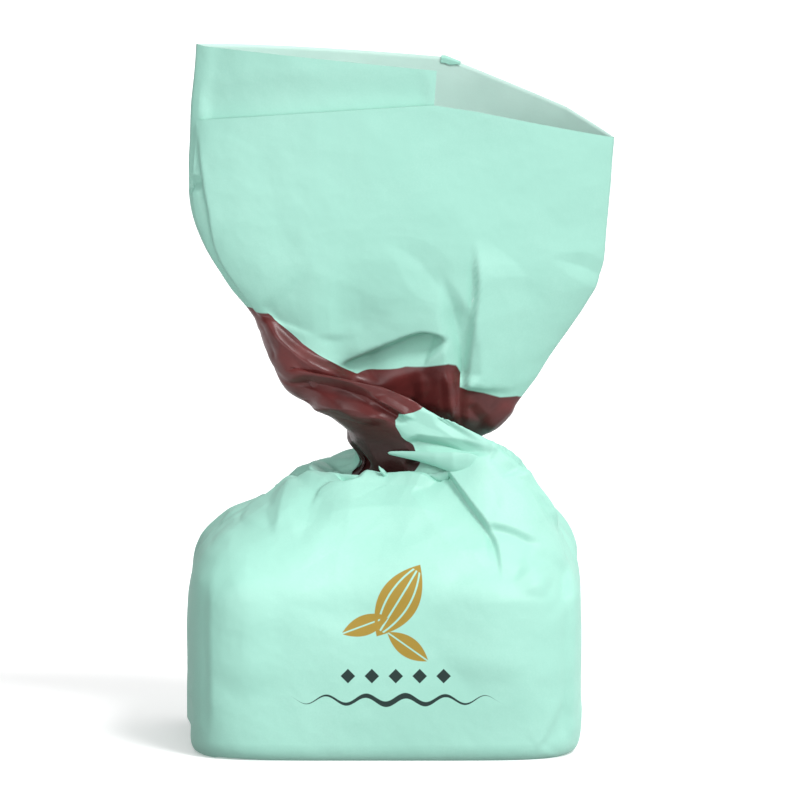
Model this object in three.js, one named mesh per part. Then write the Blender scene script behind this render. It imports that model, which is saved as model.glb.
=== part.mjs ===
// Wrapped chocolate truffle: one closed solid. A boxy wrapped body stands on a flat base, its paper is
// gathered into a twisted neck, and the paper above the neck opens into a flattened fan with a hollow mouth.
// Millimetres, +Z up, the printed front towards -Y, the origin in the middle of the flat base.
import * as THREE from "three";

// Driving sizes in millimetres.
const BODY_WIDTH = 30; // across the box of the body, left to right
const BODY_DEPTH = 28; // front to back
const MOUTH_HEIGHT = 49.55; // middle of the fan's mouth above the base
const MOUTH_STATION = 17; // the station of that height in the tables below
const MILLIMETRES_A_STATION = 6.03; // height of paper between two stations near the mouth
const WALL = 0.35; // thickness given to the paper round the open mouth
const MOUTH_END = 1.1; // how much shorter the hollow is at each pointed end of the mouth
const FLOOR_STATION = 13.5; // where the hollow of the fan ends
const FLAP_STEP = 0.3; // how far the overlapping flap stands out at its edge
const COLUMNS = 64; // columns of faces round the paper
const RING_STEPS = 360; // samples of a ring before it is divided evenly

// Each ring of paper belongs to a station: 0 is the base, 4 the shoulder, 9 the neck, 12.6 the root of
// the fan, 17 its mouth. Every table below starts its rows with the station.

// Station, then the middle of the ring: x, y, z, and how many degrees its right side is lower.
const CENTRES = [
  [0, 0, 0, 0, 0], [0.5, 0, 0, 0.25, 0], [1, 0, 0, 1.2, 0], [2, 0, 0, 6, 0],
  [3, 0.05, 0, 11.8, 0], [4, 0.15, 0.3, 14.8, 0], [5, 0.4, 0.5, 17.1, 0],
  [6, 0.5, 0.6, 19.3, 0], [7, 0.3, 0.4, 21.1, 0], [8, 0.1, 0.2, 21.8, 0],
  [9, -0.1, 0, 22.4, 0], [10, -0.1, 0, 23.6, 2], [10.6, -0.1, 0, 24.3, 10],
  [11, -0.2, 0, 25, 16], [11.5, -0.35, 0, 26.4, 20], [12, -0.15, 0, 27.3, 20.2],
  [12.6, 0, 0, 28.8, 18.6], [13.2, 0, 0, 31.7, 15.7], [14, 0.1, 0, 34.8, 13.7],
  [14.6, 0.3, 0, 36.9, 13.1], [15, 0.65, 0, 38.7, 13], [15.5, 0.9, 0, 40.5, 13],
  [MOUTH_STATION, 1.6, 0, MOUTH_HEIGHT, 13],
  [MOUTH_STATION + 1, 2.05, 0, MOUTH_HEIGHT + MILLIMETRES_A_STATION, 13],
];

// Station, shares of the body's width and depth, squareness of the corners, and how much of the ring is
// this rounded box rather than the lens of the neck and fan.
const BOXES = [
  [0, 0.947, 0.947, 5.4, 1], [0.5, 0.973, 0.97, 5.4, 1], [1, 0.993, 0.993, 5.4, 1],
  [2, 1, 1, 5.4, 1], [3, 0.985, 0.98, 5.2, 1], [4, 0.935, 0.91, 4.4, 1],
  [5, 0.812, 0.775, 3.4, 1], [6, 0.64, 0.61, 2.7, 0.95], [7, 0.5, 0.46, 2.2, 0.7],
  [8, 0.27, 0.27, 2, 0.2], [9, 0.233, 0.25, 2, 0], [18, 0.233, 0.25, 2, 0],
];

// Station, half length of the lens, its depth to the front and to the back, how pointed its ends are,
// and the share by which the middle of its front is pushed in.
const LENSES = [
  [0, 3, 2.5, 2.5, 1, 0], [6, 3, 2.5, 2.5, 1, 0], [7, 3.4, 2.8, 2.8, 1, 0], [8, 3.2, 2.7, 2.7, 1, 0],
  [9, 2.9, 2.5, 2.5, 1, 0], [10, 3, 2.4, 2.4, 1, 0], [10.6, 5, 2.5, 2.5, 1, 0.3],
  [11, 7, 2.7, 2.7, 1.1, 0.4], [11.5, 8, 2.8, 2.8, 1.1, 0.5], [12, 8.75, 3, 3, 1.15, 0.45],
  [12.6, 9.7, 3.3, 3.3, 1.2, 0.3], [13.2, 11.9, 3.8, 3.7, 1.3, 0.05], [14, 13.9, 4.1, 4, 1.4, 0],
  [14.6, 15, 4.2, 4.1, 1.4, 0], [15, 15.6, 4.3, 4.2, 1.4, 0], [15.5, 15.8, 4.4, 4.3, 1.5, 0],
  [17, 15.85, 4.8, 4.8, 1.7, 0], [18, 15.85, 5, 5, 1.8, 0],
];

// The strand is the roll of paper that climbs from the front right shoulder across the neck to the left
// end of the fan. Station, direction of the strand in degrees round the ring, its place x, y, z, its half
// width in radians, how far its upper side is above its middle, and how much of it is pulled out.
const STRANDS = [
  [0, -45, 9.2, -8.5, 0, 0.4, 0, 0], [3, -45, 9.2, -8.5, 12.6, 0.4, 0, 0],
  [4, -45, 11.6, -9.5, 15.3, 0.4, 0, 0.3], [5, -45, 11.6, -8.8, 18.1, 0.45, 0.3, 0.6],
  [6, -48, 10.1, -7.9, 20.2, 0.5, 0.5, 0.85], [7, -55, 8.3, -7.2, 22, 0.5, 0.8, 1],
  [8, -70, 5.9, -6.8, 23.2, 0.5, 1.2, 1], [9, -92, 2.7, -6.3, 24.5, 0.52, 1.6, 1],
  [10, -125, -1, -5.5, 25.9, 0.52, 1.6, 1], [10.6, -152, -4.8, -3.7, 26.7, 0.65, 1.4, 1],
  [11, -168, -7.7, -1.7, 27.4, 0.65, 1.1, 1], [11.5, -176, -8.5, -0.8, 28.7, 0.6, 0.4, 0.85],
  [12, -180, -9, -0.3, 30.4, 0.45, 0, 0.2], [12.6, -180, -9.7, 0, 32, 0.45, 0, 0],
  [18, -180, -9.7, 0, 48, 0.45, 0, 0],
];

// Station, height of the gathers that run up round the neck, and how far the front of the ring hangs.
const GATHERS = [
  [0, 0, 0], [2, 0, 0], [3, 0.03, 0], [4, 0.08, 0.1], [5, 0.14, 0.2], [6, 0.2, 0.3], [7, 0.26, 0.4],
  [8, 0.3, 0.4], [9, 0.3, 0], [10, 0.26, 0], [11, 0.22, 0], [12.6, 0.18, 0], [14, 0.08, 0],
  [15.5, 0.02, 0], [18, 0, 0],
];

// The gathers round a ring: place in radians from the strand, half width in radians and relative height.
const PLEATS = [
  [0.35, 0.3, 1], [0.95, 0.22, 0.8], [1.7, 0.35, 1], [2.35, 0.25, 0.9], [3.05, 0.35, 1.1],
  [3.7, 0.25, 0.9], [4.45, 0.35, 1], [5.2, 0.25, 0.8], [5.75, 0.22, 0.7],
];

// Edge of the mouth: place round the ring (0 the left end, 0.5 the right end, the front between them) and
// height in millimetres over the slanting mouth line. The inner flap ends at the step beside 0.29.
const RIM = [[0, -0.1], [0.283, 2.4], [0.291, -0.2], [0.33, 0], [0.5, 0.1], [0.564, 1.4], [0.707, 2.85], [1, -0.1]];
const FLAP_START = 0.013; // place round the ring of the outer flap's side edge
const FLAP_END = 0.283; // where the outer flap meets the step of the mouth's edge
const FLAP_TOP = [-5.4, -0.2]; // heights of the outer flap's top edge at those two places

// Soft folds pressed into the front of the fan: x and z of both ends, half width and depth (minus is a valley).
const FAN_FOLDS = [
  { from: [5.3, 28], to: [5.5, 37.5], half: 1.5, depth: -0.55 },
  { from: [6.6, 28], to: [6.5, 38.5], half: 1.3, depth: 0.3 },
  { from: [11.5, 30], to: [8.2, 36.5], half: 1.6, depth: -0.25 },
];

const clamp = (value, low, high) => Math.min(high, Math.max(low, value));
const radians = THREE.MathUtils.degToRad;

// A row of a table at a station, between its rows by a curve that never runs past them.
function rowAt(table, station) {
  const last = table.length - 2;
  let i = 0;
  while (i < last && table[i + 1][0] <= station) i += 1;
  const slope = (row, column) => {
    const rise = (k) => (table[k + 1][column] - table[k][column]) / (table[k + 1][0] - table[k][0]);
    if (row === 0) return rise(0);
    if (row === table.length - 1) return rise(row - 1);
    const before = rise(row - 1);
    const after = rise(row);
    return before * after > 0 ? (2 * before * after) / (before + after) : 0;
  };
  const width = table[i + 1][0] - table[i][0];
  const s = (station - table[i][0]) / width;
  return table[i].map((start, column) => {
    if (column === 0) return station;
    const end = table[i + 1][column];
    return (2 * s ** 3 - 3 * s ** 2 + 1) * start + (s ** 3 - 2 * s ** 2 + s) * slope(i, column) * width
      + (3 * s ** 2 - 2 * s ** 3) * end + (s ** 3 - s ** 2) * slope(i + 1, column) * width;
  });
}

// The value of a list of [place, value] at a place, in straight lines.
function lineAt(list, place) {
  let i = 0;
  while (i < list.length - 2 && list[i + 1][0] < place) i += 1;
  const [[from, low], [to, high]] = [list[i], list[i + 1]];
  return low + (high - low) * clamp((place - from) / (to - from), 0, 1);
}

// A closed ring of paper at a station as points, the first and last at the strand. With `inside` it is the
// hollow's own ring, a wall's thickness further in.
function ringPoints(station, inside) {
  const [, cx, cy, cz, tilt] = rowAt(CENTRES, station);
  const [, wide, deep, square, boxShare] = rowAt(BOXES, station);
  const [, length, front, back, pinch, hollow] = rowAt(LENSES, station);
  const [, aimDegrees, sx, sy, sz, strandHalf, roll, pulled] = rowAt(STRANDS, station);
  const [, gather, hang] = rowAt(GATHERS, station);
  const aim = radians(aimDegrees);
  const halfLength = length - (inside ? MOUTH_END : 0);
  const thinner = inside ? WALL : 0;
  const points = [];
  for (let k = 0; k <= RING_STEPS; k += 1) {
    const angle = (2 * Math.PI * k) / RING_STEPS;
    const [cos, sin] = [Math.cos(angle), Math.sin(angle)];
    const pushedIn = sin > 0 ? hollow * Math.exp(-(((cos * halfLength) / 4.2) ** 4)) : 0;
    const depth = (sin > 0 ? front : back) - thinner;
    const across = depth * Math.sign(sin) * Math.abs(sin) ** pinch * (1 - pushedIn);
    const lensX = halfLength * cos * Math.cos(aim) - across * Math.sin(aim);
    const lensY = halfLength * cos * Math.sin(aim) + across * Math.cos(aim);
    const turned = angle + aim;
    const reach = (Math.abs(Math.cos(turned) / (wide * BODY_WIDTH / 2)) ** square
      + Math.abs(Math.sin(turned) / (deep * BODY_DEPTH / 2)) ** square) ** (-1 / square);
    let x = boxShare * reach * Math.cos(turned) + (1 - boxShare) * lensX;
    let y = boxShare * reach * Math.sin(turned) + (1 - boxShare) * lensY;
    const radius = Math.hypot(x, y);
    const pleat = PLEATS.reduce((sum, [place, half, height]) => {
      const away = Math.abs(THREE.MathUtils.euclideanModulo(angle - place + Math.PI, 2 * Math.PI) - Math.PI);
      return sum + height * Math.max(0, 1 - away / half);
    }, 0);
    x *= 1 + (gather * pleat) / radius;
    y *= 1 + (gather * pleat) / radius;
    const z = cz - Math.tan(radians(tilt)) * x - hang * clamp(-y / radius, 0, 1) ** 2;
    points.push(new THREE.Vector3(x + cx, y + cy, z));
  }
  const start = points[0].clone();
  return points.map((point, k) => {
    const angle = (2 * Math.PI * k) / RING_STEPS;
    const away = angle > Math.PI ? angle - 2 * Math.PI : angle;
    const share = pulled * Math.exp(-((away / strandHalf) ** 4));
    return point.add(new THREE.Vector3(sx, sy, sz + (roll * away) / strandHalf).sub(start).multiplyScalar(share));
  });
}

// The points of a ring at even steps of its length, at the given places from 0 to 1 round it.
function divided(points, places) {
  const lengths = [0];
  points.forEach((point, k) => k > 0 && lengths.push(lengths[k - 1] + point.distanceTo(points[k - 1])));
  const total = lengths[lengths.length - 1];
  return places.map((place) => {
    let k = 1;
    while (k < lengths.length - 1 && lengths[k] < place * total) k += 1;
    const share = (place * total - lengths[k - 1]) / (lengths[k] - lengths[k - 1]);
    return points[k - 1].clone().lerp(points[k], clamp(share, 0, 1));
  });
}

// The point of the paper at a place round the ring and a station.
const surfacePoint = (place, station, inside) => divided(ringPoints(station, inside), [place])[0];

// How far a point is moved outwards by the soft folds in the front of the fan.
function foldDepth(point) {
  return FAN_FOLDS.reduce((sum, { from, to, half, depth }) => {
    const line = new THREE.Line3(new THREE.Vector3(from[0], 0, from[1]), new THREE.Vector3(to[0], 0, to[1]));
    const flat = new THREE.Vector3(point.x, 0, point.z);
    const away = line.closestPointToPoint(flat, true, new THREE.Vector3()).distanceTo(flat);
    return sum + depth * Math.max(0, 1 - away / half) ** 1.5;
  }, 0);
}

// The station of the mouth's edge at a place round the ring.
const rimStation = (place) => MOUTH_STATION + lineAt(RIM, place) / MILLIMETRES_A_STATION;

// The station where the outer flap ends, or a line a little under the mouth where there is no flap.
function flapStation(place) {
  if (place < FLAP_START || place > FLAP_END) return rimStation(place) - 0.35;
  const height = lineAt([[FLAP_START, FLAP_TOP[0]], [FLAP_END, FLAP_TOP[1]]], place);
  return MOUTH_STATION + height / MILLIMETRES_A_STATION;
}

// How far the flap stands out of the paper under it at a place and station.
function flapStep(place, station, aboveFlap) {
  if (place < FLAP_START || place > 0.4 || (aboveFlap && place <= FLAP_END)) return 0;
  return FLAP_STEP * clamp((0.4 - place) / 0.1, 0, 1) * clamp((station - 12.6) / 1.5, 0, 1);
}

// Places of the columns, closer together at the flap's side edge and at the step of the mouth's edge.
const places = [0, 0.008, FLAP_START];
for (let k = 2; k < COLUMNS; k += 1) {
  if (k === 18) places.push(FLAP_END, 0.291);
  else if (k !== 19) places.push(k / COLUMNS);
}

// Stations of the rows of the body and neck, denser where the paper turns.
const lowRows = [0, 0.5, 1, 2, 3, 3.5, 4, 4.5, 5, 5.5, 6, 6.5, 7, 7.4, 7.8, 8.2, 8.6, 9, 9.4, 9.8, 10.2, 10.5,
  10.8, 11.1, 11.4, 11.7, 12, 12.3, 12.6];
const FAN_ROWS = 8; // rows of faces from the root of the fan to the flap's edge
const HOLLOW_ROWS = 6; // rows of faces inside the fan

// All rows of points: the outside from the base up, over the mouth's edge, and down inside to its floor.
function paperRows() {
  const rows = lowRows.map((station) => divided(ringPoints(station, false), places));
  const outside = (stationOf, aboveFlap) => places.map((place) => {
    const station = stationOf(place);
    const point = surfacePoint(place, station, false);
    const front = place > 0.03 && place < 0.47 ? foldDepth(point) : 0;
    return point.setY(point.y - front - flapStep(place, station, aboveFlap));
  });
  const root = lowRows[lowRows.length - 1];
  for (let k = 1; k <= FAN_ROWS; k += 1)
    rows.push(outside((place) => root + ((flapStation(place) - root) * k) / FAN_ROWS, false));
  const step = 0.04;
  rows.push(outside((place) => flapStation(place) + step, true));
  rows.push(outside((place) => (flapStation(place) + rimStation(place)) / 2, true));
  rows.push(outside(rimStation, true));
  for (let k = 0; k <= HOLLOW_ROWS; k += 1)
    rows.push(places.map((place) => {
      const rim = rimStation(place);
      const point = surfacePoint(place, rim + ((FLOOR_STATION - rim) * k) / HOLLOW_ROWS, true);
      const front = place > 0.03 && place < 0.47 ? foldDepth(point) : 0;
      return point.setY(point.y - Math.min(0, front));
    }));
  return rows;
}

// The closed geometry: rows of faces between the rings, a flat base and the floor of the hollow.
function paperGeometry() {
  const rows = paperRows();
  const points = rows.flat();
  const count = places.length;
  const faces = [];
  for (let row = 0; row < rows.length - 1; row += 1)
    for (let k = 0; k < count; k += 1) {
      const next = (k + 1) % count;
      const [a, b, c, d] = [row * count + k, row * count + next, (row + 1) * count + next, (row + 1) * count + k];
      if (points[a].distanceTo(points[c]) < points[b].distanceTo(points[d])) faces.push(a, b, c, a, c, d);
      else faces.push(a, b, d, b, c, d);
    }
  const base = points.push(new THREE.Vector3(0, 0, 0)) - 1;
  const middle = surfacePoint(0, FLOOR_STATION, true).lerp(surfacePoint(0.5, FLOOR_STATION, true), 0.5);
  const floor = points.push(middle.setZ(middle.z - 1)) - 1;
  const top = (rows.length - 1) * count;
  for (let k = 0; k < count; k += 1) {
    const next = (k + 1) % count;
    faces.push(base, next, k, floor, top + k, top + next);
  }
  const geometry = new THREE.BufferGeometry().setFromPoints(points).setIndex(faces);
  geometry.computeVertexNormals();
  return geometry;
}

const paper = new THREE.MeshStandardMaterial({ color: 0xbdeedd, roughness: 0.42, metalness: 0, side: THREE.DoubleSide });
const truffle = new THREE.Mesh(paperGeometry(), paper);
truffle.name = "wrapped_truffle";

const part = new THREE.Group();
part.add(truffle);
export default part;
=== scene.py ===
"""Dresses the wrapped chocolate truffle: its printed paper, folds, fan, lining, motif, light and camera.

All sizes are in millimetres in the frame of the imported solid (+Z up, the printed front towards -Y, the
origin in the middle of the flat base) and become metres when a mesh is written.
"""
import logging
import math
from dataclasses import dataclass, field
from enum import Enum
from typing import Union

import bmesh
import bpy
import numpy as np
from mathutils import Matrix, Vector

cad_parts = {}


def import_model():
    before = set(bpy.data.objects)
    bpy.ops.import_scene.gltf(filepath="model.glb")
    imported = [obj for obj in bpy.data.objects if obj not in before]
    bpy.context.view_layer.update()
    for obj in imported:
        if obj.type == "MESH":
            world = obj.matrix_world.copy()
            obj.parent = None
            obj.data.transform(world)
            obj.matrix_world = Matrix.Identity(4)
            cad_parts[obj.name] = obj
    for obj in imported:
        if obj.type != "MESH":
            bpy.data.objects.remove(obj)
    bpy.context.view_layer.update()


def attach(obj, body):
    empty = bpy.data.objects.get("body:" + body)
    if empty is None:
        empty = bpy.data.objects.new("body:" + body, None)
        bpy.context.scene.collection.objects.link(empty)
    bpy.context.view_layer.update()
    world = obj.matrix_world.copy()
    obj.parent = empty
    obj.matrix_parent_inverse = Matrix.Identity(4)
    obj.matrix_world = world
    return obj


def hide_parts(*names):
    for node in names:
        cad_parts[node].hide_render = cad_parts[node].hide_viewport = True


LOG = logging.getLogger("truffle")
METRES = 0.001
CAMERA_ELEVATION = math.radians(6.0)
FRONT_OF_BASE = -14.0
# Stations along the paper, from the base's edge up.
BASE_EDGE = 0.0
FAN_ROOT = 12.9
MOUTH = 17.0
LAST_STATION = 18.0
# The place round the ring from which the paper lies under itself.
OVERLAP = 1.0125
# Millimetres for one station at the mouth.
MM_PER_STATION = 6.03
# The band's attribute where nothing is printed.
UNPRINTED = -1.0

Colour = tuple[float, float, float, float]
Line = tuple[tuple[float, float], ...]
Value = Union[bpy.types.NodeSocket, float, Colour]


class Side(Enum):
    """The side from which the places of a crease are read."""

    FRONT = "front"
    BACK = "back"
    LEFT = "left"
    RIGHT = "right"
    UNDER = "under"


@dataclass(frozen=True)
class Crease:
    """A fold in the paper along a line seen from one side.

    `path` holds (across, up) in millimetres as seen from that side. `left` and `right` give the height of
    the paper (minus is inwards) and how far that reaches, on the left and on the right of the path as one
    walks along it. `span` limits the fold to stations of the paper and `places` to places round it.
    """

    path: Line
    left: tuple[float, float]
    right: tuple[float, float]
    span: tuple[float, float] = (-1.0, 18.0)
    places: tuple[float, float] = (0.0, 2.0)
    side: Side = Side.FRONT
    soft: bool = False
    fade: tuple[float, float] = (0.25, 0.25)
    edge: float = 0.2


@dataclass(frozen=True)
class Pleat:
    """A sharp fold that runs along the paper, at one place round it, between two stations."""

    place: float
    half: float
    height: float
    span: tuple[float, float]
    drift: float = 0.0


def smooth(values: np.ndarray) -> np.ndarray:
    """Eases values from 0 to 1, held at both ends.

    Args:
        values: shares, which may lie outside 0 to 1.

    Returns:
        The eased shares.
    """
    v = np.clip(values, 0.0, 1.0)
    return v * v * (3.0 - 2.0 * v)


class Tables:
    """The rings of paper from the base (station 0) to the mouth (17), in millimetres and degrees.

    They follow the part's source. The body's depth and the hollow in the fan's front are softer here.
    CENTRES has x, y, z and the ring's tilt. BOXES has the body's share of width and depth, how square it is
    and how much the ring is a box. LENSES has the flat ring's half length, its reach to the front and back,
    its pinch and its hollow. STRANDS has the strand's aim, place, half angle, roll, rise and pull. GATHERS
    has the height of the pleats and how far the paper hangs behind. PLEATS has an angle, a reach in radians
    and a height.
    """

    CENTRES = np.array([
        (0, 0, 0, 0, 0), (0.5, 0, 0, 0.25, 0), (1, 0, 0, 1.2, 0), (2, 0, 0, 6, 0),
        (3, 0.05, 0, 11.8, 0), (4, 0.15, 0.3, 14.8, 0), (5, 0.4, 0.5, 17.1, 0),
        (6, 0.5, 0.6, 19.3, 0), (7, 0.3, 0.4, 21.1, 0), (8, 0.1, 0.2, 21.8, 0),
        (9, -0.1, 0, 22.4, 0), (10, -0.1, 0, 23.6, 2), (10.6, -0.1, 0, 24.3, 10),
        (11, -0.2, 0, 25, 16), (11.5, -0.35, 0, 26.4, 20), (12, -0.15, 0, 27.3, 20.2),
        (12.6, 0, 0, 28.8, 18.6), (13.2, 0, 0, 31.7, 15.7), (14, 0.1, 0, 34.8, 13.7),
        (14.6, 0.3, 0, 36.9, 13.1), (15, 0.65, 0, 38.7, 13), (15.5, 0.9, 0, 40.5, 13),
        (17, 1.6, 0, 49.55, 13), (18, 2.05, 0, 55.58, 13)])
    BOXES = np.array([
        (0, 0.947, 0.947, 5.4, 1), (0.5, 0.973, 0.97, 5.4, 1), (1, 0.993, 0.993, 5.4, 1),
        (2, 1, 0.993, 5.4, 1), (3, 0.985, 0.955, 5.2, 1), (4, 0.935, 0.89, 4.4, 1),
        (5, 0.812, 0.765, 3.4, 1), (6, 0.64, 0.61, 2.7, 0.95), (7, 0.5, 0.46, 2.2, 0.7),
        (8, 0.27, 0.27, 2, 0.2), (9, 0.233, 0.25, 2, 0), (18, 0.233, 0.25, 2, 0)])
    LENSES = np.array([
        (0, 3, 2.5, 2.5, 1, 0), (6, 3, 2.5, 2.5, 1, 0), (7, 3.4, 2.8, 2.8, 1, 0),
        (8, 3.2, 2.7, 2.7, 1, 0), (9, 2.9, 2.5, 2.5, 1, 0), (10, 3, 2.4, 2.4, 1, 0),
        (10.6, 5, 2.5, 2.5, 1, 0.3), (11, 7, 2.7, 2.7, 1.1, 0.4), (11.5, 8, 2.8, 2.8, 1.1, 0.5),
        (12, 8.75, 3, 3, 1.15, 0.45), (12.6, 9.7, 3.3, 3.3, 1.2, 0.36), (13.2, 11.9, 3.7, 3.7, 1.3, 0.26),
        (14, 13.9, 4.1, 4, 1.4, 0.1), (14.6, 15, 4.2, 4.1, 1.4, 0.02), (15, 15.6, 4.3, 4.2, 1.4, 0),
        (15.5, 15.8, 4.4, 4.3, 1.5, 0), (17, 15.85, 4.8, 4.8, 1.7, 0), (18, 15.85, 5, 5, 1.8, 0)])
    STRANDS = np.array([
        (0, -45, 9.2, -8.5, 0, 0.4, 0, 0, 0), (3, -45, 9.2, -8.5, 12.6, 0.4, 0, 0, 0),
        (4, -45, 11.6, -9.5, 15.3, 0.4, 0, 0, 0.3), (5, -45, 11.6, -8.8, 18.1, 0.45, 0.3, 0.3, 0.6),
        (6, -48, 10.1, -7.9, 20.2, 0.5, 0.5, 0.6, 0.85), (7, -55, 8.3, -7.2, 22, 0.5, 0.8, 1.1, 1),
        (8, -70, 5.9, -6.8, 23.2, 0.5, 1.2, 1.9, 1), (9, -92, 2.7, -6.3, 24.5, 0.52, 1.6, 2.5, 1),
        (10, -125, -1, -5.5, 25.9, 0.52, 1.6, 2.9, 1), (10.6, -152, -4.8, -3.7, 26.7, 0.65, 1.4, 2.8, 1),
        (11, -168, -7.7, -1.7, 27.4, 0.65, 1.1, 2.1, 1),
        (11.5, -176, -8.5, -0.8, 28.7, 0.6, 0.4, 1.2, 0.85),
        (12, -180, -9, -0.3, 30.4, 0.45, 0, 0.2, 0.2), (12.6, -180, -9.7, 0, 32, 0.45, 0, 0, 0),
        (18, -180, -9.7, 0, 48, 0.45, 0, 0, 0)])
    GATHERS = np.array([
        (0, 0, 0), (2, 0, 0), (3, 0.03, 0), (4, 0.08, 0.1), (5, 0.14, 0.2), (6, 0.2, 0.3),
        (7, 0.26, 0.4), (7.5, 0.28, 2.2), (8, 0.3, 3.1), (8.5, 0.3, 2.6), (9, 0.3, 1.2), (9.5, 0.28, 0.2),
        (10, 0.26, 0), (11, 0.22, 0), (12.6, 0.18, 0), (14, 0.08, 0), (15.5, 0.02, 0), (18, 0, 0)])
    PLEATS = ((0.35, 0.3, 1), (0.95, 0.22, 0.8), (1.7, 0.35, 1), (2.35, 0.25, 0.9), (3.05, 0.35, 1.1),
              (3.7, 0.25, 0.9), (4.45, 0.35, 1), (5.2, 0.25, 0.8), (5.75, 0.22, 0.7))

    @staticmethod
    def rows(table: np.ndarray, stations: np.ndarray) -> np.ndarray:
        """Reads a table between its rows by a curve that never runs past them.

        Args:
            table: rows that start with a station.
            stations: where to read it.

        Returns:
            One row per station, without the station itself.
        """
        knots, values = table[:, 0], table[:, 1:]
        rise = np.diff(values, axis=0) / np.diff(knots)[:, None]
        slope = np.zeros_like(values)
        slope[0], slope[-1] = rise[0], rise[-1]
        before, after = rise[:-1], rise[1:]
        same = before * after > 0
        slope[1:-1] = np.where(same, 2 * before * after / np.where(same, before + after, 1), 0)
        i = np.clip(np.searchsorted(knots, stations, side="right") - 1, 0, len(knots) - 2)
        width = (knots[i + 1] - knots[i])[:, None]
        s = (stations - knots[i])[:, None] / width
        return ((2 * s**3 - 3 * s**2 + 1) * values[i] + (s**3 - 2 * s**2 + s) * slope[i] * width
                + (3 * s**2 - 2 * s**3) * values[i + 1] + (s**3 - s**2) * slope[i + 1] * width)


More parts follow.
